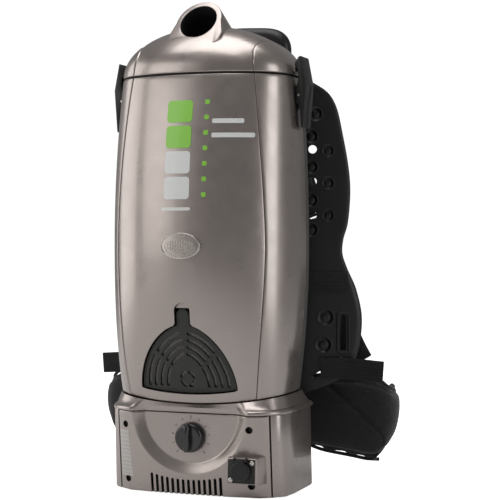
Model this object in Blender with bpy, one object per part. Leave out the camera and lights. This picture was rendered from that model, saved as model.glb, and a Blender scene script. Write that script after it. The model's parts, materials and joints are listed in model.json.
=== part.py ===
"""Backpack vacuum cleaner: canister, lift-off lid, battery base, exhaust cover, latches and harness.

Run with: blender --background --python part.py
Units are metres. +Z is up, -Y is the front that faces away from the wearer, +X is the right of that front.
The origin is the middle of the flat underside of the base floor.
"""

import math

import bmesh
import bpy
from mathutils import Matrix, Vector

MM = 0.001
GAP = 0.4 * MM  # clearance kept between neighbouring pieces

# Canister: a barrel whose half-width, front depth and squareness swell at mid height.
CAN_BELLY_Z = 278 * MM
CAN_BOTTOM_Z = 110.5 * MM
CAN_TOP_Z = 467.6 * MM
CAN_HALF_WIDTH = 109 * MM
CAN_FRONT = 87 * MM
CAN_REAR = 57 * MM
CAN_FRONT_POWER = 2.3
CAN_REAR_POWER = 6.0
CAN_WALL = 3 * MM
CAN_SPLIT_Y = 18 * MM  # plane where the front shell meets the rear shell
SEAM_DIP = 9 * MM  # how far the canister's lower edge drops at the front

# Base: squarer section that leans forward towards its top.
BASE_TOP_Z = 92 * MM
BASE_HALF_WIDTH = 104.5 * MM
BASE_FRONT_FOOT = 58 * MM
BASE_LEAN = 14 * MM
BASE_REAR = 62 * MM
BASE_POWER = 4.0
BASE_REAR_POWER = 7.0
BASE_WALL = 3 * MM
PANEL_HALF_WIDTH = 95 * MM
RECESS_Y = -57 * MM  # face of the recess around the knob
RECESS_CENTRE_Z = 93 * MM
RECESS_INNER_R = 57 * MM
RECESS_OUTER_R = 71 * MM

# Lid: a half ellipsoid over the canister's top section.
LID_BOTTOM_Z = 469.8 * MM
LID_HEIGHT = 58 * MM
LID_WALL = 3 * MM
PORT_CENTRE = Vector((0, -34.5, 530)) * MM
PORT_AZIMUTH = math.radians(-5)
PORT_ELEVATION = math.radians(31)
PORT_BORE_R = 22.2 * MM
PORT_TUBE_R = 24.4 * MM
PORT_RIM_R = 27.5 * MM

# Latches: rockers on a pin that lies along Y, one on each side of the canister.
LATCH_PIVOT = Vector((109.2, 7.6, 446.5)) * MM
LATCH_HALF_WIDTH = 14.4 * MM
LATCH_PIN_R = 1.6 * MM

# Controls and charging socket on the front panel.
KNOB_Z = 65 * MM
KNOB_R = 17.8 * MM
SOCKET_X = 65.5 * MM
SOCKET_Z = 32.5 * MM
SOCKET_FLANGE = (31 * MM, 26 * MM)
SOCKET_FACE_Y = -72.6 * MM
CAP_HINGE = (-75.7 * MM, 45.6 * MM)  # Y and Z of the dust cap's hinge line
PANEL_SCREWS = [(side * 75 * MM, z * MM) for z in (76.5, 13.8) for side in (-1, 1)]

# Exhaust cover: an arch with a finger tab.
ARCH_HALF_WIDTH = 57 * MM
ARCH_FOOT_Z = 119 * MM
ARCH_HEIGHT = 73 * MM
ARCH_SAG = 5 * MM
TAB_HALF_WIDTH = 7.6 * MM
TAB_TOP_Z = 209 * MM
POCKET_TOP_Z = 216 * MM

# Motor axis inside the canister.
MOTOR_Y = -6 * MM

# Harness: a curved plate behind the canister, straps, belt and pads.
PLATE_Y = 64.5 * MM
PLATE_CURVE = 1.58  # rise in Y, in metres, per square metre of X
PLATE_THICKNESS = 4 * MM
PLATE_OUTLINE = [  # (height, half width) in millimetres
    (104, 92), (112, 116), (124, 134), (150, 148), (190, 153), (225, 147), (250, 137), (268, 131.5),
    (285, 132.5), (305, 137.5), (340, 140), (371, 138), (410, 131.5), (440, 125), (458, 115), (470, 98),
    (480, 80),
]
HANDLE_R = 11.2 * MM
HANDLE_HALF_WIDTH = 60 * MM
HANDLE_TOP_Z = 526 * MM
HANDLE_Y = 77 * MM
STRAP_WIDTH = 48 * MM
WEBBING_WIDTH = 25 * MM
WEBBING_THICKNESS = 1.8 * MM

FINISHES = {  # colour, roughness, metallic
    "silver_casing": ((0.43, 0.39, 0.37), 0.32, 0.7),
    "dark_casing": ((0.10, 0.10, 0.095), 0.45, 0.0),
    "black_plastic": ((0.022, 0.022, 0.021), 0.38, 0.0),
    "grille_plastic": ((0.045, 0.047, 0.043), 0.5, 0.0),
    "rubber": ((0.012, 0.012, 0.012), 0.7, 0.0),
    "steel": ((0.62, 0.61, 0.58), 0.28, 1.0),
    "copper_winding": ((0.6, 0.3, 0.14), 0.35, 1.0),
    "circuit_board": ((0.03, 0.13, 0.06), 0.5, 0.0),
    "battery_wrap": ((0.05, 0.12, 0.3), 0.4, 0.0),
    "filter_paper": ((0.78, 0.76, 0.7), 0.9, 0.0),
    "filter_foam": ((0.25, 0.25, 0.22), 0.95, 0.0),
    "webbing": ((0.02, 0.02, 0.02), 0.85, 0.0),
    "pad_fabric": ((0.018, 0.018, 0.019), 0.9, 0.0),
    "badge_metal": ((0.5, 0.48, 0.46), 0.35, 0.8),
}


# ---------------------------------------------------------------- scene and material helpers


def clear_scene():
    for obj in list(bpy.data.objects):
        bpy.data.objects.remove(obj)


def material(name):
    found = bpy.data.materials.get(name)
    if found:
        return found
    colour, roughness, metallic = FINISHES[name]
    made = bpy.data.materials.new(name)
    made.use_nodes = True
    shader = made.node_tree.nodes["Principled BSDF"]
    shader.inputs["Base Color"].default_value = (*colour, 1)
    shader.inputs["Roughness"].default_value = roughness
    shader.inputs["Metallic"].default_value = metallic
    return made


def add_object(name, bm, finish, smooth_angle=35):
    """One named object from a bmesh, with its faces turned outwards."""
    bmesh.ops.remove_doubles(bm, verts=bm.verts, dist=1e-6)
    bmesh.ops.recalc_face_normals(bm, faces=bm.faces)
    mesh = bpy.data.meshes.new(name)
    bm.to_mesh(mesh)
    bm.free()
    mesh.shade_smooth()
    mesh.set_sharp_from_angle(angle=math.radians(smooth_angle))
    obj = bpy.data.objects.new(name, mesh)
    bpy.context.scene.collection.objects.link(obj)
    mesh.materials.append(material(finish))
    return obj


def as_cutter(obj):
    obj.hide_render = True
    obj.display_type = "WIRE"
    return obj


def boolean(obj, other, operation="DIFFERENCE"):
    modifier = obj.modifiers.new(operation.lower() + "_" + other.name, "BOOLEAN")
    modifier.operation = operation
    modifier.object = as_cutter(other)
    return obj


def bevel(obj, width, segments=1, angle=40):
    modifier = obj.modifiers.new("bevel", "BEVEL")
    modifier.width = width
    modifier.segments = segments
    modifier.limit_method = "ANGLE"
    modifier.angle_limit = math.radians(angle)
    return obj


# ---------------------------------------------------------------- solid builders


def loft(rings):
    """Closed solid through rings of equal length, capped at both ends."""
    bm = bmesh.new()
    made = [[bm.verts.new(p) for p in ring] for ring in rings]
    count = len(rings[0])
    for low, high in zip(made, made[1:]):
        for i in range(count):
            j = (i + 1) % count
            bm.faces.new((low[i], low[j], high[j], high[i]))
    bm.faces.new(made[0])
    bm.faces.new(made[-1])
    return bm


def tube_loft(outer, inner):
    """Hollow solid, open at both ends, between matching outer and inner rings."""
    bm = bmesh.new()
    rows = [[bm.verts.new(p) for p in ring] for ring in [*outer, *reversed(inner)]]
    count = len(rows[0])
    for low, high in zip(rows, rows[1:] + rows[:1]):
        for i in range(count):
            j = (i + 1) % count
            bm.faces.new((low[i], low[j], high[j], high[i]))
    return bm


def prism(outline, direction):
    """Solid swept from a closed 3-D outline along a vector."""
    shift = Vector(direction)
    return loft([[Vector(p) for p in outline], [Vector(p) + shift for p in outline]])


def box(low, high):
    low, high = Vector(low), Vector(high)
    outline = [(low.x, low.y, low.z), (high.x, low.y, low.z), (high.x, high.y, low.z), (low.x, high.y, low.z)]
    return prism(outline, (0, 0, high.z - low.z))


def axis_frame(axis):
    """Rotation that takes +Z to the given direction."""
    return Vector((0, 0, 1)).rotation_difference(Vector(axis)).to_matrix().to_4x4()


def turned(profile, centre, axis, segments=32):
    """Solid turned from a closed profile of (radius, distance along the axis)."""
    bm = bmesh.new()
    place = Matrix.Translation(Vector(centre)) @ axis_frame(axis)
    poles = {i: bm.verts.new(place @ Vector((0, 0, h))) for i, (r, h) in enumerate(profile) if r == 0}
    columns = []
    for k in range(segments):
        angle = 2 * math.pi * k / segments
        columns.append([
            poles.get(i) or bm.verts.new(place @ Vector((r * math.cos(angle), r * math.sin(angle), h)))
            for i, (r, h) in enumerate(profile)
        ])
    for k in range(segments):
        this, following = columns[k], columns[(k + 1) % segments]
        for i in range(len(profile)):
            j = (i + 1) % len(profile)
            corners = list(dict.fromkeys((this[i], this[j], following[j], following[i])))
            if len(corners) > 2:
                bm.faces.new(corners)
    return bm


def cylinder(radius, start, axis, length, segments=24):
    """Plain round bar from start along axis."""
    place = Matrix.Translation(Vector(start)) @ axis_frame(axis)
    angles = [2 * math.pi * (k + 0.5) / segments for k in range(segments)]
    ring = [Vector((radius * math.cos(a), radius * math.sin(a), 0)) for a in angles]
    return loft([[place @ p for p in ring], [place @ (p + Vector((0, 0, length))) for p in ring]])


def catmull(points, count):
    """Smooth curve through points, read at count places."""
    pts = [Vector(p) for p in points]
    pts = [2 * pts[0] - pts[1], *pts, 2 * pts[-1] - pts[-2]]
    spans = len(pts) - 3
    curve = []
    for k in range(count):
        position = min(k * spans / (count - 1), spans - 1e-9)
        i = int(position)
        t = position - i
        p0, p1, p2, p3 = pts[i : i + 4]
        square = 2 * p0 - 5 * p1 + 4 * p2 - p3
        cube = 3 * p1 - p0 - 3 * p2 + p3
        curve.append(0.5 * (2 * p1 + (p2 - p0) * t + square * t**2 + cube * t**3))
    return curve


def ribbon(path, across, width, thickness, round_points=0):
    """Flat strap along path: width lies along `across`, thickness along the strap's own normal.

    With round_points its edges are rounded, as on a padded strap.
    """
    rings = []
    for i, point in enumerate(path):
        tangent = (path[min(i + 1, len(path) - 1)] - path[max(i - 1, 0)]).normalized()
        side = Vector(across[i] if isinstance(across, list) else across)
        side = (side - tangent * side.dot(tangent)).normalized()
        normal = tangent.cross(side).normalized()
        half_width = (width[i] if isinstance(width, list) else width) / 2
        half_thick = thickness / 2
        if round_points:
            straight = half_width - half_thick
            angles = [math.pi * (k / round_points - 0.5) for k in range(round_points + 1)]
            offsets = [(straight + half_thick * math.cos(a), half_thick * math.sin(a)) for a in angles]
            offsets += [(-u, -v) for u, v in offsets]
        else:
            offsets = [(half_width, -half_thick), (half_width, half_thick)]
            offsets += [(-half_width, half_thick), (-half_width, -half_thick)]
        rings.append([point + side * u + normal * v for u, v in offsets])
    return loft(rings)


def round_tube(path, radius, segments=12):
    """Round bar swept along a path."""
    rings = []
    side = Vector((1, 0, 0))
    for i, point in enumerate(path):
        tangent = (path[min(i + 1, len(path) - 1)] - path[max(i - 1, 0)]).normalized()
        normal = tangent.cross(side)
        if normal.length < 1e-3:
            normal = tangent.cross(Vector((0, 1, 0)))
        normal.normalize()
        other = tangent.cross(normal)
        side = normal.cross(tangent)
        rings.append([
            point + radius * (math.cos(a) * normal + math.sin(a) * other)
            for a in (2 * math.pi * k / segments for k in range(segments))
        ])
    return loft(rings)


# ---------------------------------------------------------------- the casing's shape


def canister_size(z, inset=0.0):
    """Half-width, front depth, rear depth and front power of the canister's section at height z."""
    if z < CAN_BELLY_Z:
        share = ((CAN_BELLY_Z - z) / (176 * MM)) ** 2
        half_width, front, power = CAN_HALF_WIDTH - 13 * MM * share, CAN_FRONT - 29 * MM * share, 1.1 * share
    else:
        share = ((z - CAN_BELLY_Z) / (190 * MM)) ** 2
        half_width, front, power = CAN_HALF_WIDTH - 8 * MM * share, CAN_FRONT - 21 * MM * share, 0.0
    return half_width - inset, front - inset, CAN_REAR - inset, CAN_FRONT_POWER + power


def polar_radius(angle, half_width, depth, power):
    c, s = abs(math.cos(angle)), abs(math.sin(angle))
    return ((c / half_width) ** power + (s / depth) ** power) ** (-1 / power)


def canister_point(angle, z, inset=0.0):
    """Point on the canister's wall at a polar angle, 0 at +X and -90 degrees at the front."""
    half_width, front, rear, power = canister_size(z, inset)
    if math.sin(angle) <= 0:
        r = polar_radius(angle, half_width, front, power)
    else:
        r = polar_radius(angle, half_width, rear, CAN_REAR_POWER)
    return Vector((r * math.cos(angle), r * math.sin(angle), z))


def canister_front_y(x, z, inset=0.0):
    """Y of the canister's front wall at x and z."""
    half_width, front, _, power = canister_size(z, inset)
    return -front * (1 - min(abs(x) / half_width, 0.999) ** power) ** (1 / power)


def seam_z(point):
    """Height of the canister's lower edge, which dips at the front."""
    depth = max(0.0, -point.y) / canister_size(CAN_BOTTOM_Z)[1]
    return CAN_BOTTOM_Z - SEAM_DIP * depth**2


def canister_ring(angles, share, inset=0.0, low=0.0, high=0.0):
    """Ring between the lower edge (share 0) and the top (share 1); low and high move those two edges."""
    top = CAN_TOP_Z + high
    nominal = CAN_BOTTOM_Z + share * (top - CAN_BOTTOM_Z)
    ring = []
    for angle in angles:
        point = canister_point(angle, nominal, inset)
        bottom = seam_z(point) + low
        point.z = bottom + share * (top - bottom)
        ring.append(point)
    return ring


def spread(start, end, count):
    return [start + (end - start) * k / (count - 1) for k in range(count)]


def base_size(z, inset=0.0):
    share = min(z / BASE_TOP_Z, 1.0)
    half_width = BASE_HALF_WIDTH - 1.5 * MM * (1 - share)
    return half_width - inset, BASE_FRONT_FOOT + BASE_LEAN * share - inset, BASE_REAR - inset


def recess_share(x, z):
    """1 inside the recess around the knob, 0 outside it, with a sloping wall between."""
    r = math.hypot(x, min(z, RECESS_CENTRE_Z) - RECESS_CENTRE_Z)
    t = min(max((RECESS_OUTER_R - r) / (RECESS_OUTER_R - RECESS_INNER_R), 0.0), 1.0)
    return t * t * (3 - 2 * t)


def base_front_y(x, z, inset=0.0):
    """Y of the base's front face at x and z, recess included."""
    half_width, front, _ = base_size(z)
    y = -front * (1 - min(abs(x) / half_width, 0.999) ** BASE_POWER) ** (1 / BASE_POWER)
    share = recess_share(x, z)
    return y + share * (max(RECESS_Y, y) - y) + inset


def base_point(angle, z, inset=0.0):
    half_width, front, rear = base_size(z, inset)
    if math.sin(angle) > 0:
        r = polar_radius(angle, half_width, rear, BASE_REAR_POWER)
        return Vector((r * math.cos(angle), r * math.sin(angle), z))
    r = polar_radius(angle, half_width, front, BASE_POWER)
    point = Vector((r * math.cos(angle), r * math.sin(angle), z))
    share = recess_share(point.x, z)
    point.y += share * (max(RECESS_Y + inset, point.y) - point.y)
    return point


def wall_patch(half_width, low_z, high_z, outer, inner, columns=14, rows=8):
    """Curved slab of the canister's front wall, between two insets from its surface."""
    rings = []
    for z in spread(low_z, high_z, rows):
        xs = spread(-half_width, half_width, columns)
        ring = [Vector((x, canister_front_y(x, z) + outer, z)) for x in xs]
        ring += [Vector((x, canister_front_y(x, z) + inner, z)) for x in reversed(xs)]
        rings.append(ring)
    return loft(rings)


# ---------------------------------------------------------------- base


def base_housing():
    angles = [2 * math.pi * (k + 0.5) / 40 for k in range(40)]

    def rings(inset):
        made = [[base_point(a, z, inset) for a in angles] for z in (1 * MM, 45 * MM, 88 * MM)]
        for share, rise in ((0.0, 4 * MM), (0.12, 6 * MM), (0.9, None)):
            ring = []
            for a in angles:
                low = base_point(a, BASE_TOP_Z, inset)
                high = canister_point(a, CAN_BOTTOM_Z, inset - 1.5 * MM)
                point = low.lerp(high, share)
                point.z = BASE_TOP_Z + rise if rise else seam_z(high) - GAP - 1 * MM
                ring.append(point)
            made.append(ring)
        return made

    obj = add_object("base_housing", tube_loft(rings(0), rings(BASE_WALL)), "silver_casing")
    opening = box(
        (-PANEL_HALF_WIDTH - GAP, -90 * MM, -5 * MM), (PANEL_HALF_WIDTH + GAP, -32 * MM, BASE_TOP_Z + GAP)
    )
    return boolean(obj, add_object("panel_opening", opening, "silver_casing"))


def base_floor():
    angles = [2 * math.pi * (k + 0.5) / 40 for k in range(40)]
    inset = BASE_WALL + 1.2 * MM
    rings = []
    for z in (0.0, 3.5 * MM):
        ring = [base_point(a, 0.1 * MM, inset) for a in angles]
        for point in ring:
            point.y = max(point.y, -BASE_FRONT_FOOT + 9 * MM)
            point.z = z
        rings.append(ring)
    return add_object("base_floor", loft(rings), "black_plastic")


def panel_vents():
    """Row of upright vent slots whose tops follow the recess, open at the panel's lower edge."""
    bm = bmesh.new()
    pitch, half_slot, count = 6.38 * MM, 1.7 * MM, 14
    for k in range(count):
        x = k * pitch - 46.3 * MM
        share = 2 * k / (count - 1) - 1
        top = (18 + 5 * share * share - 0.5 * share) * MM
        part = box((x - half_slot, -90 * MM, -2 * MM), (x + half_slot, -30 * MM, top))
        mesh = bpy.data.meshes.new("slot")
        part.to_mesh(mesh)
        bm.from_mesh(mesh)
        part.free()
        bpy.data.meshes.remove(mesh)
    return add_object("vent_cutter", bm, "silver_casing")


def base_front_panel():
    columns, rows = 17, 8
    rings = []
    for z in spread(1 * MM, BASE_TOP_Z - GAP, rows):
        xs = spread(-PANEL_HALF_WIDTH, PANEL_HALF_WIDTH, columns)
        ring = [Vector((x, base_front_y(x, z), z)) for x in xs]
        ring += [Vector((x, base_front_y(x, z, BASE_WALL), z)) for x in reversed(xs)]
        rings.append(ring)
    obj = add_object("base_front_panel", loft(rings), "silver_casing")
    half_w, half_h = SOCKET_FLANGE[0] / 2 + 1.2 * MM, SOCKET_FLANGE[1] / 2 + 1.2 * MM
    face_y = SOCKET_FACE_Y + 2.2 * MM
    boss = loft([
        [(SOCKET_X + s * (half_w + flare), y, SOCKET_Z + t * (half_h + flare / 2)) for s, t in
         ((-1, -1), (1, -1), (1, 1), (-1, 1))]
        for flare, y in ((0, face_y), (5 * MM, -48 * MM))
    ])
    boolean(obj, add_object("socket_boss", boss, "silver_casing"), "UNION")
    hollow = box(
        (SOCKET_X - 13 * MM, -80 * MM, SOCKET_Z - 12 * MM), (SOCKET_X + 13 * MM, -30 * MM, SOCKET_Z + 12 * MM)
    )
    boolean(obj, add_object("socket_hole", hollow, "silver_casing"))
    boolean(obj, panel_vents())
    shaft_hole = cylinder(4.2 * MM, (0, -80 * MM, KNOB_Z), (0, 1, 0), 60 * MM, 16)
    boolean(obj, add_object("shaft_hole", shaft_hole, "silver_casing"))
    for k, (x, z) in enumerate(PANEL_SCREWS):
        hole = cylinder(3.9 * MM, (x, -90 * MM, z), (0, 1, 0), 70 * MM, 12)
        boolean(obj, add_object(f"screw_hole_{k + 1}", hole, "silver_casing"))
    return obj


def panel_screws():
    """Recessed screws: each shank ends in a boss behind the panel."""
    for k, (x, z) in enumerate(PANEL_SCREWS):
        head_y = base_front_y(x, z) + 4.6 * MM
        profile = [(0, 0), (3.2, 0), (3.2, 1.8), (1.5, 2.2), (1.5, 12), (0, 13)]
        screw = turned([(r * MM, d * MM) for r, d in profile], (x, head_y, z), (0, 1, 0), 12)
        socket = cylinder(1.3 * MM, (x, head_y - 1 * MM, z), (0, 1, 0), 2 * MM, 6)
        obj = add_object(f"panel_screw_{k + 1}", screw, "steel")
        boolean(obj, add_object(f"screw_socket_{k + 1}", socket, "steel"))


def speed_control():
    """Knob with a grip bar on a metal shaft that turns in a fixed potentiometer."""
    face_y = RECESS_Y - 0.6 * MM
    axis = (0, 1, 0)
    profile = [(0, -9 * MM), (KNOB_R - 2.2 * MM, -9 * MM), (KNOB_R - 1 * MM, -7.6 * MM), (KNOB_R, -1 * MM)]
    profile += [(KNOB_R, 0), (0, 0)]
    knob = add_object("speed_knob", turned(profile, (0, face_y, KNOB_Z), axis, 28), "black_plastic")
    reach = KNOB_R - 0.6 * MM
    bar = box((-4.2 * MM, face_y - 15.5 * MM, KNOB_Z - reach), (4.2 * MM, face_y - 4 * MM, KNOB_Z + reach))
    boolean(knob, add_object("grip_bar", bar, "black_plastic"), "UNION")
    bore = cylinder(3.4 * MM, (0, face_y - 5 * MM, KNOB_Z), axis, 12 * MM, 16)
    boolean(knob, add_object("knob_bore", bore, "black_plastic"))
    add_object("knob_shaft", cylinder(3 * MM, (0, face_y - 4.4 * MM, KNOB_Z), axis, 18 * MM, 14), "steel")
    body = [(3.5, 0), (4, 0), (4, 5), (12, 5), (12, 17), (0, 17), (0, 12), (3.5, 12)]
    pot = turned([(r * MM, d * MM) for r, d in body], (0, RECESS_Y + 1.6 * MM, KNOB_Z), axis, 20)
    add_object("potentiometer", pot, "black_plastic")


def charging_socket():
    """Panel socket with a round well, two screws and a sprung dust cap hinged at its top."""
    half_w, half_h = SOCKET_FLANGE[0] / 2, SOCKET_FLANGE[1] / 2
    low = (SOCKET_X - half_w, SOCKET_FACE_Y, SOCKET_Z - half_h)
    high = (SOCKET_X + half_w, SOCKET_FACE_Y + 1.8 * MM, SOCKET_Z + half_h)
    obj = add_object("charge_socket", box(low, high), "black_plastic")
    barrel = cylinder(11 * MM, (SOCKET_X, SOCKET_FACE_Y + 0.5 * MM, SOCKET_Z), (0, 1, 0), 26 * MM, 28)
    boolean(obj, add_object("socket_barrel", barrel, "black_plastic"), "UNION")
    well = cylinder(8.6 * MM, (SOCKET_X, SOCKET_FACE_Y - 5 * MM, SOCKET_Z), (0, 1, 0), 24 * MM, 24)
    boolean(obj, add_object("socket_well", well, "black_plastic"))
    for k, (sx, sz) in enumerate(((1, 1), (-1, -1))):
        x, z = SOCKET_X + sx * 12.4 * MM, SOCKET_Z + sz * 9.7 * MM
        hole = cylinder(1.9 * MM, (x, SOCKET_FACE_Y - 5 * MM, z), (0, 1, 0), 20 * MM, 12)
        boolean(obj, add_object(f"socket_screw_hole_{k + 1}", hole, "black_plastic"))
        head = [(0, -1.3), (2.2, -1), (2.7, -0.3), (1.5, -0.3), (1.5, 1.5), (0, 1.5)]
        screw = turned([(r * MM, d * MM) for r, d in head], (x, SOCKET_FACE_Y, z), (0, 1, 0), 12)
        add_object(f"socket_screw_{k + 1}", screw, "steel")
    for k, dx in enumerate((-3.4, 3.4)):
        foot = (SOCKET_X + dx * MM, SOCKET_FACE_Y + 11.5 * MM, SOCKET_Z)
        pin = cylinder(1.1 * MM, foot, (0, 1, 0), 10 * MM, 8)
        boolean(obj, add_object(f"contact_pin_{k + 1}", pin, "steel"), "UNION")
    for side in (-1, 1):
        low, high = sorted((SOCKET_X + side * 5.6 * MM, SOCKET_X + side * 8 * MM))
        foot = (low, SOCKET_FACE_Y - 5 * MM, CAP_HINGE[1] - 2 * MM)
        lug = box(foot, (high, SOCKET_FACE_Y + 1 * MM, CAP_HINGE[1] + 2 * MM))
        boolean(obj, add_object(f"cap_lug_{side + 2}", lug, "black_plastic"), "UNION")
    cap_y = SOCKET_FACE_Y - GAP - 1.2 * MM
    profile = [(0, -3 * MM), (9.5 * MM, -3 * MM), (11 * MM, -2.2 * MM), (11.3 * MM, 0), (0, 0)]
    disc = turned(profile, (SOCKET_X, cap_y, SOCKET_Z), (0, 1, 0), 32)
    cap = add_object("socket_cap", disc, "black_plastic")
    low = (SOCKET_X - 5 * MM, cap_y - 3 * MM, SOCKET_Z + 8 * MM)
    ear = box(low, (SOCKET_X + 5 * MM, cap_y, CAP_HINGE[1] + 1.5 * MM))
    boolean(cap, add_object("cap_ear", ear, "black_plastic"), "UNION")


def battery_and_board():
    pack = box((-62 * MM, -6 * MM, 5 * MM), (62 * MM, 52 * MM, 72 * MM))
    bevel(add_object("battery_pack", pack, "battery_wrap"), 4 * MM, 2)
    board = box((-70 * MM, -18 * MM, 8 * MM), (48 * MM, -16.4 * MM, 82 * MM))
    add_object("control_board", board, "circuit_board")


# ---------------------------------------------------------------- canister


def shell_rings(angles, shares, low, high):
    rings = []
    for share in shares:
        outer = canister_ring(angles, share, 0.0, low, high)
        inner = canister_ring(angles, share, CAN_WALL, low, high)
        rings.append(outer + inner[::-1])
    return rings


def canister_shells():
    """Front and rear shells, which meet at a plane behind the middle."""
    shares = [0, 0.1, 0.25, 0.4, 0.55, 0.7, 0.85, 1.0]
    split = math.atan2(CAN_SPLIT_Y, CAN_HALF_WIDTH * 0.97)
    front_angles = spread(split, -math.pi - split, 27)
    front = add_object("canister_front_shell", loft(shell_rings(front_angles, shares, 0, 0)), "silver_casing")
    boolean(front, add_object("cover_opening", arch_prism(0.6 * MM, POCKET_TOP_Z, 9 * MM), "silver_casing"))
    corner = math.atan2(CAN_REAR, CAN_HALF_WIDTH)
    rear_angles = spread(split + 0.006, corner - 0.16, 4) + spread(corner - 0.08, corner + 0.2, 5)
    rear_angles += [math.pi / 2]
    rear_angles += [math.pi - a for a in reversed(rear_angles[:-1])]
    rear = loft(shell_rings(rear_angles, [0, 0.25, 0.5, 0.75, 1.0], 0, 0))
    rear = add_object("canister_rear_shell", rear, "dark_casing")
    for k, (x, z) in enumerate(((-55, 215), (55, 215), (-55, 440), (55, 440))):
        x, z = x * MM, z * MM
        start = CAN_REAR - CAN_WALL + 0.5 * MM
        boss = cylinder(8 * MM, (x, start, z), (0, 1, 0), plate_y(abs(x) - 8 * MM) - GAP - start, 10)
        boolean(rear, add_object(f"plate_boss_{k + 1}", boss, "dark_casing"), "UNION")
    return front, rear


def arch_half_width(z):
    t = min(max((z - ARCH_FOOT_Z) / ARCH_HEIGHT, 0.0), 1.0)
    return ARCH_HALF_WIDTH * (1 - t**1.8) ** (1 / 1.8)


def arch_outline(grow, tab_top, tab_half):
    """Closed outline of the exhaust cover in X and Z: an arch, a finger tab and a sagging foot."""
    side = []
    for z in spread(ARCH_FOOT_Z, ARCH_FOOT_Z + ARCH_HEIGHT * 0.985, 15):
        if arch_half_width(z) + grow > tab_half + 1 * MM:
            side.append((arch_half_width(z) + grow, z + grow * 0.3))
    side += [(tab_half, side[-1][1] + 2.5 * MM), (tab_half, tab_top - tab_half * 0.5)]
    side += [(tab_half * 0.75, tab_top - tab_half * 0.12), (tab_half * 0.3, tab_top)]
    foot = [(-x, ARCH_FOOT_Z - grow - ARCH_SAG * (1 - (x / ARCH_HALF_WIDTH) ** 2)) for x in
            spread(-ARCH_HALF_WIDTH * 0.94, ARCH_HALF_WIDTH * 0.94, 9)]
    foot.reverse()
    return foot + side + [(-x, z) for x, z in reversed(side)]


def arch_prism(grow, tab_top, tab_half):
    outline = [(x, -110 * MM, z) for x, z in arch_outline(grow, tab_top, tab_half)]
    return prism(outline, (0, 74 * MM, 0))


def slot_ribbon(points, half_slot):
    """Prism along Y over a run of (x, z) points, half_slot to each side."""
    path = [Vector((x, 0, z)) for x, z in points]
    left, right = [], []
    for i, p in enumerate(path):
        tangent = (path[min(i + 1, len(path) - 1)] - path[max(i - 1, 0)]).normalized()
        normal = Vector((tangent.z, 0, -tangent.x)) * half_slot
        left.append(p + normal)
        right.append(p - normal)
    outline = [Vector((p.x, -110 * MM, p.z)) for p in left + right[::-1]]
    return prism(outline, (0, 80 * MM, 0))


def arc_slots():
    """Centre lines of the cover's slots as runs of (x, z): four nested arches and a ring."""
    runs = []
    for k in range(4):
        offset = (9.5 + 7.6 * k) * MM
        half, height = ARCH_HALF_WIDTH - offset, ARCH_HEIGHT - offset * 1.02
        foot = ARCH_FOOT_Z + 4 * MM
        for start, end in ((0.0, 0.42), (0.46, 0.93)):
            for side in (-1, 1):
                run = []
                for t in spread(start, end, 4):
                    angle = t * math.pi / 2
                    x = half * math.cos(angle) ** (2 / 1.8)
                    z = foot + (height - 4 * MM) * math.sin(angle) ** (2 / 1.8)
                    run.append((side * x, z))
                runs.append(run)
    ring_z = ARCH_FOOT_Z + 11.5 * MM
    for quarter in range(4):
        angles = spread(quarter * math.pi / 2 + 0.16, (quarter + 1) * math.pi / 2 - 0.16, 4)
        runs.append([(8 * MM * math.cos(a), ring_z + 8 * MM * math.sin(a)) for a in angles])
    return runs


def join_meshes(parts):
    """One bmesh holding several closed bodies, for use as a cutter."""
    bm = bmesh.new()
    for part in parts:
        mesh = bpy.data.meshes.new("part")
        part.to_mesh(mesh)
        part.free()
        bm.from_mesh(mesh)
        bpy.data.meshes.remove(mesh)
    return bm


def exhaust_cover():
    """Removable slotted cover, with the filter pad behind it."""
    slab = wall_patch(60 * MM, 112 * MM, 213 * MM, 1.6 * MM, 5 * MM, 9, 7)
    cover = add_object("exhaust_grille", slab, "grille_plastic")
    outline = arch_prism(-0.5 * MM, TAB_TOP_Z, TAB_HALF_WIDTH)
    boolean(cover, add_object("grille_outline", outline, "grille_plastic"), "INTERSECT")
    slots = join_meshes([slot_ribbon(run, 1.9 * MM) for run in arc_slots()])
    boolean(cover, add_object("grille_slots", slots, "grille_plastic"))
    slab = wall_patch(56 * MM, 112 * MM, 195 * MM, 5.6 * MM, 13 * MM, 9, 5)
    pad = add_object("exhaust_filter", slab, "filter_foam")
    outline = [(x, -110 * MM, z) for x, z in arch_outline(-3 * MM, 188 * MM, 6 * MM)]
    boolean(pad, add_object("pad_outline", prism(outline, (0, 90 * MM, 0)), "filter_foam"), "INTERSECT")


def badge():
    """Oval plate on the front with a raised rim."""
    oval = [(24 * MM * math.cos(a), -110 * MM, CAN_BELLY_Z + 14.5 * MM * math.sin(a)) for a in
            (2 * math.pi * k / 28 for k in range(28))]
    plate = wall_patch(26 * MM, 262 * MM, 294 * MM, -1.6 * MM, -0.4 * MM, 9, 3)
    obj = add_object("badge_plate", plate, "badge_metal")
    return boolean(obj, add_object("badge_outline", prism(oval, (0, 60 * MM, 0)), "badge_metal"), "INTERSECT")


def flat_plate(name, z, thickness, inset, finish, hole_r=0.0, front_limit=-1.0):
    angles = [2 * math.pi * (k + 0.5) / 40 for k in range(40)]
    rings = []
    for level in (z, z + thickness):
        ring = [canister_point(a, z, inset) for a in angles]
        for point in ring:
            point.y = max(point.y, front_limit)
            point.z = level
        rings.append(ring)
    obj = add_object(name, loft(rings), finish)
    if hole_r:
        hole = cylinder(hole_r, (0, MOTOR_Y, z - 5 * MM), (0, 0, 1), thickness + 10 * MM, 24)
        boolean(obj, add_object(name + "_hole", hole, finish))
    return obj


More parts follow.
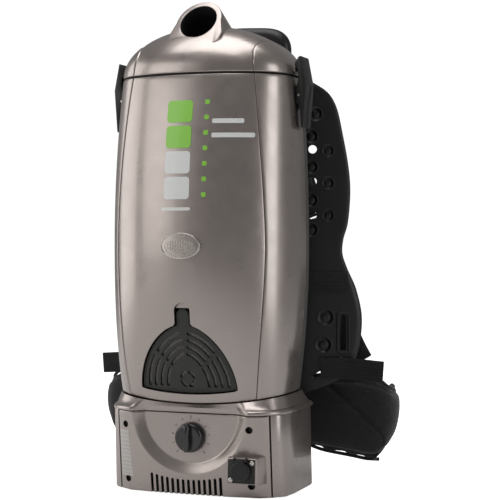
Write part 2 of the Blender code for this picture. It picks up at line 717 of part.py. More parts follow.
def inner_works():
    """Motor, fan, decks, seals and the filter bag, all inside the canister."""
    flat_plate("motor_floor", 116 * MM, 3 * MM, CAN_WALL + 1 * MM, "black_plastic", 30 * MM, -42 * MM)
    flat_plate("motor_deck", 205 * MM, 3 * MM, CAN_WALL + 6.5 * MM, "black_plastic", 24 * MM)
    centre = (0, MOTOR_Y, 0)
    rings = {  # name: finish and section of (radius, height) in millimetres
        "motor_can": ("steel", [
            (34, 121), (40, 124), (40, 158), (5, 158), (5, 155), (36, 155), (36, 126), (31, 121),
        ]),
        "motor_windings": ("copper_winding", [(14, 126), (34, 126), (34, 150), (14, 150)]),
        "fan_housing": ("black_plastic", [(16, 201), (47, 201), (47, 161), (45, 161), (45, 199), (16, 199)]),
        "fan_seal": ("rubber", [(26, 201.4), (34, 201.4), (34, 204.6), (26, 204.6)]),
        "motor_filter": ("filter_foam", [(0, 208.6), (38, 208.6), (38, 215), (0, 215)]),
    }
    for name, (finish, section) in rings.items():
        add_object(name, turned([(r * MM, h * MM) for r, h in section], centre, (0, 0, 1), 24), finish)
    shaft = cylinder(3.5 * MM, (0, MOTOR_Y, 124 * MM), (0, 0, 1), 70 * MM, 14)
    add_object("motor_shaft", shaft, "steel")
    impeller()


def impeller():
    """Radial fan wheel: a disc, a hub that clears the shaft and curved blades."""
    hub = turned(
        [(4 * MM, 166 * MM), (41 * MM, 166 * MM), (41 * MM, 168 * MM), (9 * MM, 168 * MM), (9 * MM, 188 * MM),
         (4 * MM, 188 * MM)],
        (0, MOTOR_Y, 0), (0, 0, 1), 24,
    )
    wheel = add_object("impeller", hub, "black_plastic")
    blades = []
    for k in range(7):
        turn = 2 * math.pi * k / 7
        run = []
        for t in spread(0, 1, 5):
            r, a = (8.5 + 31 * t) * MM, turn + 0.8 * t
            run.append(Vector((r * math.cos(a), MOTOR_Y + r * math.sin(a), 177 * MM)))
        blades.append(ribbon(run, (0, 0, 1), 19 * MM, 1.5 * MM))
    boolean(wheel, add_object("impeller_blades", join_meshes(blades), "black_plastic"), "UNION")


def filter_bag():
    """Bag that fills the canister, with a stiff collar that the lid's inlet meets."""
    angles = [2 * math.pi * (k + 0.5) / 28 for k in range(20)]
    rings = []
    for z, inset in ((218, 34), (226, 20), (260, 14), (340, 13), (410, 15), (432, 26), (438, 40)):
        rings.append([canister_point(a, z * MM, inset * MM) for a in angles])
    add_object("filter_bag", loft(rings), "filter_paper")
    collar = box((-42 * MM, -38 * MM, 439 * MM), (42 * MM, 42 * MM, 442 * MM))
    obj = bevel(add_object("bag_collar", collar, "filter_paper"), 8 * MM, 2, 60)
    hole = cylinder(26.5 * MM, (0, 2 * MM, 430 * MM), (0, 0, 1), 20 * MM, 24)
    boolean(obj, add_object("collar_hole", hole, "filter_paper"))


def seals():
    angles = [2 * math.pi * (k + 0.5) / 36 for k in range(36)]
    outer, inner = [], []
    for z in (CAN_TOP_Z + GAP, LID_BOTTOM_Z - GAP):
        for rows, inset in ((outer, 0.8 * MM), (inner, 3.6 * MM)):
            ring = [canister_point(a, CAN_TOP_Z, inset) for a in angles]
            for point in ring:
                point.z = z
            rows.append(ring)
    add_object("lid_seal", tube_loft(outer, inner), "rubber")


# ---------------------------------------------------------------- lid


def dome(inset, low_z, rows=6):
    """Closed half ellipsoid over the canister's top section."""
    angles = [2 * math.pi * (k + 0.5) / 28 for k in range(28)]
    rings = [[Vector((p.x, p.y, low_z)) for p in (canister_point(a, CAN_TOP_Z, inset) for a in angles)]]
    for tilt in spread(0, math.radians(84), rows):
        scale, rise = math.cos(tilt), (LID_HEIGHT - inset) * math.sin(tilt)
        ring = [canister_point(a, CAN_TOP_Z, inset) for a in angles]
        rings.append([Vector((p.x * scale, p.y * scale, LID_BOTTOM_Z + rise + 0.01 * MM)) for p in ring])
    return loft(rings)


def port_axes():
    """Outward direction of the hose port, and the sideways and upward directions in its face."""
    out = Vector((
        math.sin(PORT_AZIMUTH) * math.cos(PORT_ELEVATION),
        -math.cos(PORT_AZIMUTH) * math.cos(PORT_ELEVATION),
        math.sin(PORT_ELEVATION),
    ))
    side = Vector((0, 0, 1)).cross(out).normalized()
    return out, side, out.cross(side)


def hood():
    """Tombstone-shaped block behind the port's face, flaring down into the dome."""
    out, side, up = port_axes()
    outline = []
    for a in spread(math.radians(-8), math.radians(188), 19):
        outline.append(PORT_CENTRE + PORT_RIM_R * (math.cos(a) * side + math.sin(a) * up))
    outline += [PORT_CENTRE - 33 * MM * side - 46 * MM * up, PORT_CENTRE + 33 * MM * side - 46 * MM * up]
    return prism(outline, -out * 62 * MM)


def lid():
    shell = add_object("lid_dome", dome(0, LID_BOTTOM_Z), "silver_casing")
    boolean(shell, add_object("port_hood", hood(), "silver_casing"), "UNION")
    for side in (-1, 1):
        low = (side * 101.5 * MM - 2.5 * MM, LATCH_PIVOT.y - 10 * MM, 473.5 * MM)
        catch = box(low, (side * 101.5 * MM + 2.5 * MM, LATCH_PIVOT.y + 10 * MM, 479 * MM))
        boolean(shell, add_object(f"lid_catch_{side + 2}", catch, "silver_casing"), "UNION")
    boolean(shell, add_object("lid_hollow", dome(LID_WALL, LID_BOTTOM_Z - 20 * MM), "silver_casing"))
    out, _, _ = port_axes()
    bore = cylinder(PORT_TUBE_R + GAP, PORT_CENTRE + out * 12 * MM, -out, 90 * MM, 24)
    boolean(shell, add_object("port_bore", bore, "silver_casing"))
    inlet_elbow()


def elbow_path(count):
    out, _, _ = port_axes()
    points = [
        PORT_CENTRE - out * 1.5 * MM,
        PORT_CENTRE - out * 14 * MM,
        PORT_CENTRE - out * 28 * MM + Vector((0, 0, -1.5)) * MM,
        Vector((0, 1, 488)) * MM,
        Vector((0, 2, 466)) * MM,
        Vector((0, 2, 446)) * MM,
    ]
    return catmull(points, count)


def inlet_elbow():
    """Bent inlet tube from the port to the bag's collar."""
    outer, inner = [], []
    path = elbow_path(10)
    for i, point in enumerate(path):
        tangent = (path[min(i + 1, len(path) - 1)] - path[max(i - 1, 0)]).normalized()
        side = Vector((1, 0, 0))
        side = (side - tangent * side.dot(tangent)).normalized()
        other = tangent.cross(side)
        for rows, r in ((outer, PORT_TUBE_R), (inner, PORT_BORE_R)):
            rows.append([point + r * (math.cos(a) * side + math.sin(a) * other) for a in
                         (2 * math.pi * k / 20 for k in range(20))])
    add_object("inlet_elbow", tube_loft(outer, inner), "black_plastic")


# ---------------------------------------------------------------- latches


def latch_profile():
    """Rocker outline in X and Z on the right-hand side, from the hook round the nose to the thumb tip."""
    points = [(109.4, 489.5), (112, 490.3), (118, 459), (114.6, 410.5), (112.2, 410), (111, 430)]
    points += [(106.8, 438.5), (106.8, 455), (109.2, 466), (108.3, 474), (104.7, 479.6), (105.2, 483.4)]
    return [(x * MM, z * MM) for x, z in points]


def side_object(name, bm, finish, side):
    """Object built on the right, mirrored to the left when side is -1."""
    if side < 0:
        bmesh.ops.scale(bm, vec=(-1, 1, 1), verts=bm.verts)
        bmesh.ops.reverse_faces(bm, faces=bm.faces)
    return add_object(name, bm, finish)


def latches():
    for side, word in ((-1, "left"), (1, "right")):
        half, middle = LATCH_HALF_WIDTH, LATCH_PIVOT.y
        outline = [(x, middle - half, z) for x, z in latch_profile()]
        rocker = side_object(f"latch_{word}", prism(outline, (0, 2 * half, 0)), "black_plastic", side)
        pivot = Vector((LATCH_PIVOT.x, -30 * MM, LATCH_PIVOT.z))
        pocket = box((100 * MM, middle - 8.6 * MM, 433 * MM), (113.2 * MM, middle + 8.6 * MM, 460 * MM))
        boolean(rocker, side_object(f"latch_pocket_{word}", pocket, "black_plastic", side))
        groove = cylinder(9 * MM, (124.6 * MM, middle, 442 * MM), (-0.08, 0, -1), 48 * MM, 20)
        boolean(rocker, side_object(f"thumb_groove_{word}", groove, "black_plastic", side))
        bore = cylinder(LATCH_PIN_R + 0.3 * MM, pivot, (0, 1, 0), 60 * MM, 14)
        boolean(rocker, side_object(f"latch_bore_{word}", bore, "black_plastic", side))
        start = (LATCH_PIVOT.x, middle - half + 0.2 * MM, LATCH_PIVOT.z)
        pin = cylinder(LATCH_PIN_R, start, (0, 1, 0), 2 * half - 0.4 * MM, 14)
        side_object(f"latch_pin_{word}", pin, "steel", side)
        latch_bracket(word, side, pivot)


def latch_bracket(word, side, pivot):
    """Plate on the canister's side with one lug that carries the pin."""
    rings = []
    low, high = LATCH_PIVOT.y - 8 * MM, LATCH_PIVOT.y + 8 * MM
    for z in spread(434.5 * MM, 457.5 * MM, 3):
        ring = []
        for y in spread(low, high, 3):
            angle = math.atan2(y, canister_size(z)[0])
            ring.append(Vector((canister_point(angle, z).x + 0.5 * MM, y, z)))
        ring += [Vector((105.3 * MM, high, z)), Vector((105.3 * MM, low, z))]
        rings.append(ring)
    obj = side_object(f"latch_bracket_{word}", loft(rings), "black_plastic", side)
    lug = box((104.3 * MM, low + 1 * MM, 440.5 * MM), (112.4 * MM, high - 1 * MM, 452.5 * MM))
    boolean(obj, side_object(f"latch_lug_{word}", lug, "black_plastic", side), "UNION")
    hole = cylinder(LATCH_PIN_R + 0.3 * MM, pivot, (0, 1, 0), 60 * MM, 14)
    boolean(obj, side_object(f"lug_bore_{word}", hole, "black_plastic", side))


# ---------------------------------------------------------------- harness


def plate_y(x):
    return PLATE_Y + PLATE_CURVE * x * x


def plate_half_width(z):
    """Half-width of the back plate at a height, on a smooth curve through its outline points."""
    knots = [Vector((h * MM, w * MM, 0)) for h, w in PLATE_OUTLINE]
    curve = catmull(knots, 12 * len(knots))
    for a, b in zip(curve, curve[1:]):
        if a.x <= z <= b.x:
            return a.y + (b.y - a.y) * (z - a.x) / max(b.x - a.x, 1e-9)
    return curve[-1].y if z > curve[-1].x else curve[0].y


def plate_slab(low_z, high_z, front, back, shrink, rows, columns):
    """Curved slab that follows the back plate's outline, between two distances behind its front face."""
    rings = []
    for z in spread(low_z, high_z, rows):
        half = plate_half_width(z) - shrink
        xs = spread(-half, half, columns)
        ring = [Vector((x, plate_y(x) + front, z)) for x in xs]
        ring += [Vector((x, plate_y(x) + back, z)) for x in reversed(xs)]
        rings.append(ring)
    return loft(rings)


def back_plate():
    slab = plate_slab(104 * MM, 480 * MM, 0, PLATE_THICKNESS, 0, 15, 7)
    plate = add_object("back_plate", slab, "black_plastic")
    holes = []
    for side in (-1, 1):
        for x, z, r in ((97, 391, 5), (100, 354, 5), (60, 391, 5), (60, 354, 5)):
            holes.append(cylinder(r * MM, (side * x * MM, 50 * MM, z * MM), (0, 1, 0), 70 * MM, 10))
        x = side * 132 * MM
        holes.append(box((x - 3.2 * MM, 50 * MM, 154 * MM), (x + 3.2 * MM, 130 * MM, 196 * MM)))
    for side in (-1, 1):
        ends = (Vector((side * 98, 40, 122)) * MM, Vector((side * 132, 40, 145)) * MM)
        across = (ends[1] - ends[0]).cross(Vector((0, 1, 0))).normalized() * 1.8 * MM
        corners = [ends[0] - across, ends[1] - across, ends[1] + across, ends[0] + across]
        holes.append(prism(corners, (0, 90 * MM, 0)))
    return boolean(plate, add_object("plate_holes", join_meshes(holes), "black_plastic"))


def carry_handle():
    """Arched grip whose legs reach down to the top of the back plate."""
    points = [(-HANDLE_HALF_WIDTH, HANDLE_Y + 1 * MM, 484.5 * MM), (-61 * MM, HANDLE_Y, 500 * MM),
              (-59.5 * MM, HANDLE_Y, 515.5 * MM), (-49 * MM, HANDLE_Y, 523.3 * MM),
              (-24 * MM, HANDLE_Y, HANDLE_TOP_Z - 0.5 * MM), (0, HANDLE_Y, HANDLE_TOP_Z)]
    points += [(-x, y, z) for x, y, z in reversed(points[:-1])]
    add_object("carry_handle", round_tube(catmull(points, 25), HANDLE_R, 12), "black_plastic", 60)


def pads():
    """Foam pads on the wearer's side of the plate."""
    front = PLATE_THICKNESS + 3 * MM
    back = plate_slab(262 * MM, 462 * MM, front, front + 16 * MM, 50 * MM, 6, 7)
    bevel(add_object("back_pad", back, "pad_fabric"), 5 * MM, 1, 60)
    lumbar = plate_slab(128 * MM, 246 * MM, front, front + 17 * MM, 32 * MM, 5, 7)
    bevel(add_object("lumbar_pad", lumbar, "pad_fabric"), 6 * MM, 1, 60)


SHOULDER_POINTS = [  # right-hand strap centre line, millimetres, from the plate's top over the shoulder
    (38, 100, 470), (39, 122, 481), (38, 148, 474), (36, 166, 444), (37, 172, 398), (50, 164, 350),
    (70, 151, 312),
]
LOWER_STRAP_POINTS = [  # webbing and sleeve from the adjuster to the belt
    (78, 143, 292), (90, 135, 268), (103, 127, 240), (116, 121, 206), (125, 117, 180), (136, 113, 157),
    (147, 110.5, 139),
]


def shoulder_straps():
    for side, word in ((-1, "left"), (1, "right")):
        def mirrored(points, count):
            return catmull([(side * x * MM, y * MM, z * MM) for x, y, z in points], count)

        path = mirrored(SHOULDER_POINTS, 13)
        strap = ribbon(path, (side * 1, 0.25, 0.1), STRAP_WIDTH, 12 * MM, 3)
        add_object(f"shoulder_strap_{word}", strap, "pad_fabric", 60)
        lower = mirrored(LOWER_STRAP_POINTS, 11)
        add_object(f"lower_strap_{word}", ribbon(lower, (side * 1, 0.1, 0.2), 36 * MM, 3 * MM), "webbing")
        top, bottom = path[-1], lower[0]
        down = (bottom - top).normalized()
        across = Vector((side, 0.25, 0.1))
        wide = (across - down * down.dot(across)).normalized() * 20 * MM
        thin = down.cross(wide).normalized() * 3 * MM
        start = top + down * 4.2 * MM
        corners = [start + wide * w + thin * t for w, t in ((-1, -1), (1, -1), (1, 1), (-1, 1))]
        buckle = prism(corners, down * ((bottom - top).length - 9.5 * MM))
        add_object(f"strap_adjuster_{word}", buckle, "black_plastic")


SIDE_BAND_POINTS = [  # right-hand band, millimetres, from the plate outwards
    (108, 78.5, 133), (124, 84, 133.5), (140, 88.5, 133), (160, 91, 131.5), (181, 91, 130),
]


BELT_POINTS = [  # right-hand belt pad centre line in plan, millimetres
    (62, 94), (108, 96), (150, 98), (180, 104), (190.5, 122), (187, 150), (176, 182), (160, 206),
]


BELT_WEBBING_POINTS = [  # webbing in plan, from the pad's tip to the buckle at the middle
    (149, 213), (128, 234), (98, 254), (72, 263.5), (60, 265), (41, 265),
]
BUCKLE_Y = 265 * MM


def belt_section(point, outward, share):
    """Closed section of the belt pad: cupped, its middle furthest out, tapering towards the tip."""
    middle = 84 * MM
    taper = max(0.0, share - 0.45) / 0.55
    low = 35 * MM - 15 * MM * min(share / 0.3, 1.0) + 34 * MM * taper
    high = 124 * MM - 14 * MM * min(max(share - 0.28, 0.0) / 0.3, 1.0) - 4 * MM * taper
    thick = 13 * MM * (1 - 0.35 * taper)
    ring = []
    heights = spread(low, high, 6)
    for z in heights:
        ring.append((z, -6.5 * (z - middle) ** 2))
    outer = [point + outward * dip + Vector((0, 0, z)) for z, dip in ring]
    inner = [point + outward * (dip - thick) + Vector((0, 0, z)) for z, dip in ring]
    inner[0] = point + outward * (ring[0][1] - thick * 0.8) + Vector((0, 0, low + 2 * MM))
    return outer + inner[::-1]


def belt():
    for side, word in ((-1, "left"), (1, "right")):
        path = catmull([(side * x * MM, y * MM, 0) for x, y in BELT_POINTS], 10)
        rings = []
        for i, point in enumerate(path):
            tangent = (path[min(i + 1, len(path) - 1)] - path[max(i - 1, 0)]).normalized()
            outward = Vector((tangent.y, -tangent.x, 0)) * side
            rings.append(belt_section(point, outward, i / (len(path) - 1)))
        add_object(f"belt_pad_{word}", loft(rings), "pad_fabric", 60)


def belt_webbing():
    """Webbing from each pad's tip to the buckle; the left one runs over the plug, which slides along it."""
    for side, word in ((-1, "left"), (1, "right")):
        over = 5.2 * MM if side < 0 else 0.0
        points = [(side * x * MM, y * MM, 86 * MM) for x, y in BELT_WEBBING_POINTS]
        if side < 0:
            points = [(x, y + over * min(1, k / 3), z) for k, (x, y, z) in enumerate(points)]
            points.append((-12 * MM, points[-1][1], 86 * MM))
        strip = ribbon(catmull(points, 11), (0, 0, 1), WEBBING_WIDTH * 1.5, WEBBING_THICKNESS)
        add_object(f"belt_webbing_{word}", strip, "webbing")


def buckle():
    """Side-release buckle: three prongs on the plug enter the hollow of the socket."""
    y = BUCKLE_Y
    socket = box((2 * MM, y - 6 * MM, 62 * MM), (40 * MM, y + 6 * MM, 110 * MM))
    socket = bevel(add_object("buckle_socket", socket, "black_plastic"), 2.5 * MM, 1)
    hollow = box((-5 * MM, y - 3.4 * MM, 67 * MM), (28 * MM, y + 3.4 * MM, 105 * MM))
    boolean(socket, add_object("buckle_hollow", hollow, "black_plastic"))
    far_gap = box((32 * MM, y - 8 * MM, 67 * MM), (36 * MM, y + 8 * MM, 105 * MM))
    boolean(socket, add_object("socket_slot", far_gap, "black_plastic"))
    plug = box((-34 * MM, y - 3.6 * MM, 64 * MM), (1.4 * MM, y + 3.6 * MM, 108 * MM))
    plug = bevel(add_object("buckle_plug", plug, "black_plastic"), 2 * MM, 1)
    for k, (low, high) in enumerate(((68.5, 75), (82.5, 89.5), (97, 103.5))):
        prong = box((-2 * MM, y - 2.6 * MM, low * MM), (24 * MM, y + 2.6 * MM, high * MM))
        boolean(plug, add_object(f"buckle_prong_{k + 1}", prong, "black_plastic"), "UNION")
    bar_gap = box((-30 * MM, y - 8 * MM, 67 * MM), (-26 * MM, y + 8 * MM, 105 * MM))
    boolean(plug, add_object("plug_slot", bar_gap, "black_plastic"))


def side_bands():
    """Short webbing from the plate's slanted slit to the foot of each shoulder strap."""
    for side, word in ((-1, "left"), (1, "right")):
        path = catmull([(side * x * MM, y * MM, z * MM) for x, y, z in SIDE_BAND_POINTS], 7)
        add_object(f"side_band_{word}", ribbon(path, (0, 0, 1), WEBBING_WIDTH, WEBBING_THICKNESS), "webbing")


def plate_webbing():
    """Stabiliser webbing that crosses the front of the back plate below its waist."""
    low, high = 223 * MM, 247 * MM
    rings = []
    for z in (low, high):
        xs = spread(-146 * MM, 146 * MM, 15)
        ring = [Vector((x, plate_y(x) - GAP - WEBBING_THICKNESS, z)) for x in xs]
        ring += [Vector((x, plate_y(x) - GAP, z)) for x in reversed(xs)]
        rings.append(ring)
    add_object("plate_webbing", loft(rings), "webbing")


def build():
    clear_scene()
    base_housing()
    base_floor()
    base_front_panel()
    panel_screws()
    speed_control()
    charging_socket()
    battery_and_board()
    canister_shells()
    exhaust_cover()
    badge()
    inner_works()
    filter_bag()
    seals()
    lid()
    latches()
    back_plate()
    carry_handle()
    pads()
    shoulder_straps()
    belt()
    belt_webbing()
    buckle()
    side_bands()
    plate_webbing()


build()
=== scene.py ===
"""Backpack vacuum cleaner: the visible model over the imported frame, with its materials, light and camera.

Metres, +Z up, -Y is the front that faces away from the wearer. Each visible piece replaces its CAD nodes and
rides on their body.
"""

import json
import math

import bmesh
import bpy
import numpy as np
from mathutils import Matrix, Vector, noise


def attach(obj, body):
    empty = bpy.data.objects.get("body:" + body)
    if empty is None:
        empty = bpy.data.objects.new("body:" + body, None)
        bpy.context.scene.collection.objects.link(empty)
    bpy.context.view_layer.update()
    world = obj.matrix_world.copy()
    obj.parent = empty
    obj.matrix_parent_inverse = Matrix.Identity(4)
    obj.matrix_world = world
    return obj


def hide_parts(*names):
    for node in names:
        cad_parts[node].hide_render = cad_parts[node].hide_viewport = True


MM = 0.001

# Canister section
CAN_BELLY_Z = 278 * MM
CAN_BOTTOM_Z = 112.8 * MM
CAN_TOP_Z = 467.6 * MM
CAN_HALF_WIDTH = 109 * MM
CAN_FRONT = 87 * MM
CAN_REAR = 57 * MM
CAN_FRONT_POWER = 2.3
CAN_REAR_POWER = 6.0
CAN_WALL = 3 * MM
CAN_SPLIT_Y = 18 * MM
SEAM_DIP = 9.2 * MM
CAN_FOOT_REACH = 176 * MM
CAN_TOP_REACH = 190 * MM
CAN_FOOT_TAPER = (13 * MM, 29 * MM)  # loss of half-width and of front depth below the belly
CAN_TOP_TAPER = (8 * MM, 21 * MM)  # the same above it
CAN_FOOT_SQUARING = 1.1  # gain in the front power below the belly

# Base section
BASE_TOP_Z = 92 * MM
BASE_HALF_WIDTH = 104.5 * MM
BASE_FRONT_FOOT = 58 * MM
BASE_LEAN = 14 * MM
BASE_REAR = 66 * MM
BASE_SPREAD = 2 * MM  # extra half-width at the foot
BASE_POWER = 3.2
BASE_REAR_POWER = 12.0
PANEL_HALF_WIDTH = 90.5 * MM
RECESS_Y = -57 * MM
RECESS_CENTRE_Z = 93 * MM
RECESS_INNER_R = 57 * MM
RECESS_OUTER_R = 69 * MM
PANEL_SCREWS = [(x * MM, z * MM) for z in (76.5, 13.8) for x in (-79, 71)]

# Lid and hose port
LID_BOTTOM_Z = 469.8 * MM
LID_HEIGHT = 58 * MM
PORT_CENTRE = Vector((0, -34.5, 530)) * MM
PORT_AZIMUTH = math.radians(-5)
PORT_ELEVATION = math.radians(31)
PORT_BORE_R = 22.2 * MM
PORT_TUBE_R = 24.4 * MM
PORT_RIM_R = 28.3 * MM

# Controls
KNOB_Z = 65 * MM
SOCKET_X = 65.5 * MM
SOCKET_Z = 32.5 * MM
SOCKET_HALF = (15.5 * MM, 13 * MM)
SOCKET_FACE_Y = -72.6 * MM
CAP_HINGE = (-75.7 * MM, 45.6 * MM)

# Exhaust cover
ARCH_HALF_WIDTH = 57 * MM
ARCH_FOOT_Z = 119 * MM
ARCH_HEIGHT = 73 * MM
ARCH_SAG = 5 * MM
TAB_HALF_WIDTH = 7.6 * MM
TAB_TOP_Z = 209 * MM
POCKET_TOP_Z = 216 * MM

# Latches
LATCH_PIVOT = Vector((109.2, 7.6, 446.5)) * MM
LATCH_HALF_WIDTH = 14.4 * MM

# Harness
PLATE_Y = 64.5 * MM
PLATE_CURVE = 1.58
PLATE_THICKNESS = 4 * MM
PLATE_OUTLINE = [  # height, half-width in millimetres
    (104, 92), (112, 116), (124, 134), (150, 148), (190, 153), (225, 147), (250, 137), (268, 131.5),
    (285, 132.5), (305, 137.5), (340, 140), (371, 138), (410, 131.5), (440, 125), (458, 115), (470, 98),
    (480, 80),
]
HANDLE_Y = 77 * MM
WEBBING_WIDTH = 25 * MM
WEBBING_THICKNESS = 1.8 * MM
STRAP_WIDTH = 48 * MM
BUCKLE_Y = 265 * MM
# Right-hand strap, band and belt centre lines, in millimetres
SHOULDER_POINTS = [
    (38, 100, 470), (39, 122, 481), (38, 148, 474), (36, 166, 444), (37, 172, 398), (50, 164, 350),
    (70, 151, 312),
]
LOWER_STRAP_POINTS = [
    (78, 143, 292), (90, 135, 268), (103, 127, 240), (116, 121, 206), (125, 117, 180), (136, 113, 157),
    (147, 110.5, 139),
]
SIDE_BAND_POINTS = [(108, 78.5, 133), (124, 84, 133.5), (140, 88.5, 133), (160, 91, 131.5), (181, 91, 130)]
BELT_POINTS = [
    (62, 94), (108, 96), (150, 98), (180, 104), (190.5, 122), (187, 150), (176, 182), (160, 206),
]
BELT_WEBBING_POINTS = [(149, 213), (128, 234), (98, 254), (72, 263.5), (60, 265), (41, 265)]

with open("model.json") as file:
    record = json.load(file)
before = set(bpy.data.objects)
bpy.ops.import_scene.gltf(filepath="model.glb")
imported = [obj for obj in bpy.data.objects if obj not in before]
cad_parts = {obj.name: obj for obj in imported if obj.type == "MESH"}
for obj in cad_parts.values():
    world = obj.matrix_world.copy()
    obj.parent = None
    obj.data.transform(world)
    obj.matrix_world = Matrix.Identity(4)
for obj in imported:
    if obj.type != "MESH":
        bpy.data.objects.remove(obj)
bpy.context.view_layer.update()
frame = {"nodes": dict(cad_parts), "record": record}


# ---------------------------------------------------------------- node and material helpers


class Shader:
    """A new material's node tree, with short calls for the nodes it uses."""

    def __init__(self, name, colour, roughness, metallic=0.0):
        self.material = bpy.data.materials.new(name)
        self.material.use_nodes = True
        self.tree = self.material.node_tree
        self.bsdf = self.tree.nodes["Principled BSDF"]
        self.bsdf.inputs["Base Color"].default_value = (*colour, 1)
        self.bsdf.inputs["Roughness"].default_value = roughness
        self.bsdf.inputs["Metallic"].default_value = metallic

    def node(self, kind, **settings):
        made = self.tree.nodes.new("ShaderNode" + kind)
        for key, value in settings.items():
            setattr(made, key, value)
        return made

    def link(self, source, target):
        self.tree.links.new(source, target)

    def place(self):
        return self.node("TexCoord").outputs["Object"]

    def math(self, operation, a, b=None):
        made = self.node("Math", operation=operation)
        for socket, value in zip(made.inputs, (a, b)):
            if value is None:
                continue
            if isinstance(value, (int, float)):
                socket.default_value = value
            else:
                self.link(value, socket)
        return made.outputs[0]

    def noise(self, scale, detail=2.0, vector=None, roughness=0.5):
        made = self.node("TexNoise")
        made.inputs["Scale"].default_value = scale
        made.inputs["Detail"].default_value = detail
        made.inputs["Roughness"].default_value = roughness
        self.link(vector or self.place(), made.inputs["Vector"])
        return made.outputs["Fac"]

    def spread(self, value, low, high, out_low, out_high):
        made = self.node("MapRange")
        for key, number in (("From Min", low), ("From Max", high), ("To Min", out_low), ("To Max", out_high)):
            made.inputs[key].default_value = number
        self.link(value, made.inputs["Value"])
        return made.outputs["Result"]

    def blend_colour(self, factor, first, second):
        made = self.node("Mix", data_type="RGBA")
        self.link(factor, made.inputs["Factor"])
        for socket, value in ((made.inputs[6], first), (made.inputs[7], second)):
            if isinstance(value, tuple):
                socket.default_value = (*value, 1)
            else:
                self.link(value, socket)
        return made.outputs[2]

    def colour(self, value):
        self.link(value, self.bsdf.inputs["Base Color"])

    def roughness(self, value):
        self.link(value, self.bsdf.inputs["Roughness"])

    def bump(self, height, distance, strength=1.0):
        made = self.node("Bump")
        made.inputs["Distance"].default_value = distance
        made.inputs["Strength"].default_value = strength
        self.link(height, made.inputs["Height"])
        self.link(made.outputs["Normal"], self.bsdf.inputs["Normal"])

    def set(self, **values):
        for key, value in values.items():
            self.bsdf.inputs[key.replace("_", " ")].default_value = value


def shade_of(colour, factor):
    return tuple(c * factor for c in colour)


def paint(name, colour, roughness=0.3):
    """Metallic paint: faint flakes and clouds of tint, uneven gloss, and a clear coat over slow waviness."""
    s = Shader(name, colour, roughness, 0.82)
    flakes = s.noise(900, 1.0)
    clouds = s.noise(14, 3.0)
    tint = s.blend_colour(s.spread(flakes, 0.35, 0.65, 0, 1), shade_of(colour, 0.98), shade_of(colour, 1.02))
    tint = s.blend_colour(s.spread(clouds, 0.35, 0.65, 0, 0.12), tint, shade_of(colour, 1.1))
    s.colour(tint)
    s.roughness(s.spread(s.noise(60, 3.0), 0.3, 0.7, roughness - 0.03, roughness + 0.05))
    s.bump(s.noise(35, 1.0), 0.00004, 0.2)
    s.set(Coat_Weight=0.5, Coat_Roughness=0.08)
    return s.material


def moulded(name, colour, roughness=0.45, grain=1500, depth=0.00004, dust=0.12, shine=0.35):
    """Moulded plastic: a spark-eroded grain, faint dust and rubbed patches."""
    s = Shader(name, colour, roughness)
    cells = s.node("TexVoronoi", feature="SMOOTH_F1")
    cells.inputs["Scale"].default_value = grain
    s.link(s.place(), cells.inputs["Vector"])
    patches = s.noise(22, 4.0, roughness=0.6)
    dusty = tuple(c + 0.03 for c in colour)
    s.set(Specular_IOR_Level=shine)
    s.colour(s.blend_colour(s.spread(patches, 0.42, 0.75, 0, dust), colour, dusty))
    s.roughness(s.spread(patches, 0.3, 0.7, roughness - 0.05, roughness + 0.08))
    s.bump(s.math("ADD", cells.outputs["Distance"], s.math("MULTIPLY", s.noise(500), 0.6)), depth, 0.6)
    return s.material


def polished(name, colour, roughness=0.14):
    """Gloss plastic with fine handling marks."""
    s = Shader(name, colour, roughness)
    marks = s.noise(240, 4.0, roughness=0.7)
    worn = tuple(c + 0.02 for c in colour)
    s.colour(s.blend_colour(s.spread(s.noise(30, 3), 0.4, 0.7, 0, 0.15), colour, worn))
    s.roughness(s.spread(marks, 0.35, 0.7, roughness - 0.03, roughness + 0.12))
    s.bump(marks, 0.00002, 0.4)
    s.set(Coat_Weight=0.25, Coat_Roughness=0.06)
    return s.material


def metal(name, colour, roughness=0.25):
    """Turned and plated metal with fine brushed lines."""
    s = Shader(name, colour, roughness, 1.0)
    stretch = s.node("Mapping")
    stretch.inputs["Scale"].default_value = (1, 1, 30)
    s.link(s.place(), stretch.inputs["Vector"])
    lines = s.noise(300, 3.0, stretch.outputs["Vector"])
    s.colour(s.blend_colour(s.noise(90, 3.0), shade_of(colour, 0.85), colour))
    s.roughness(s.spread(lines, 0.3, 0.7, roughness - 0.06, roughness + 0.1))
    s.bump(lines, 0.00002, 0.5)
    return s.material


def knot_lattice(s, pitch):
    """Height of a woven look that needs no UVs: crossing waves along the three axes."""
    split = s.node("SeparateXYZ")
    s.link(s.place(), split.inputs[0])
    waves = [s.math("SINE", s.math("MULTIPLY", axis, 2 * math.pi / pitch)) for axis in split.outputs]
    pairs = [s.math("MULTIPLY", waves[i], waves[(i + 1) % 3]) for i in range(3)]
    return s.math("ADD", s.math("ADD", pairs[0], pairs[1]), pairs[2])


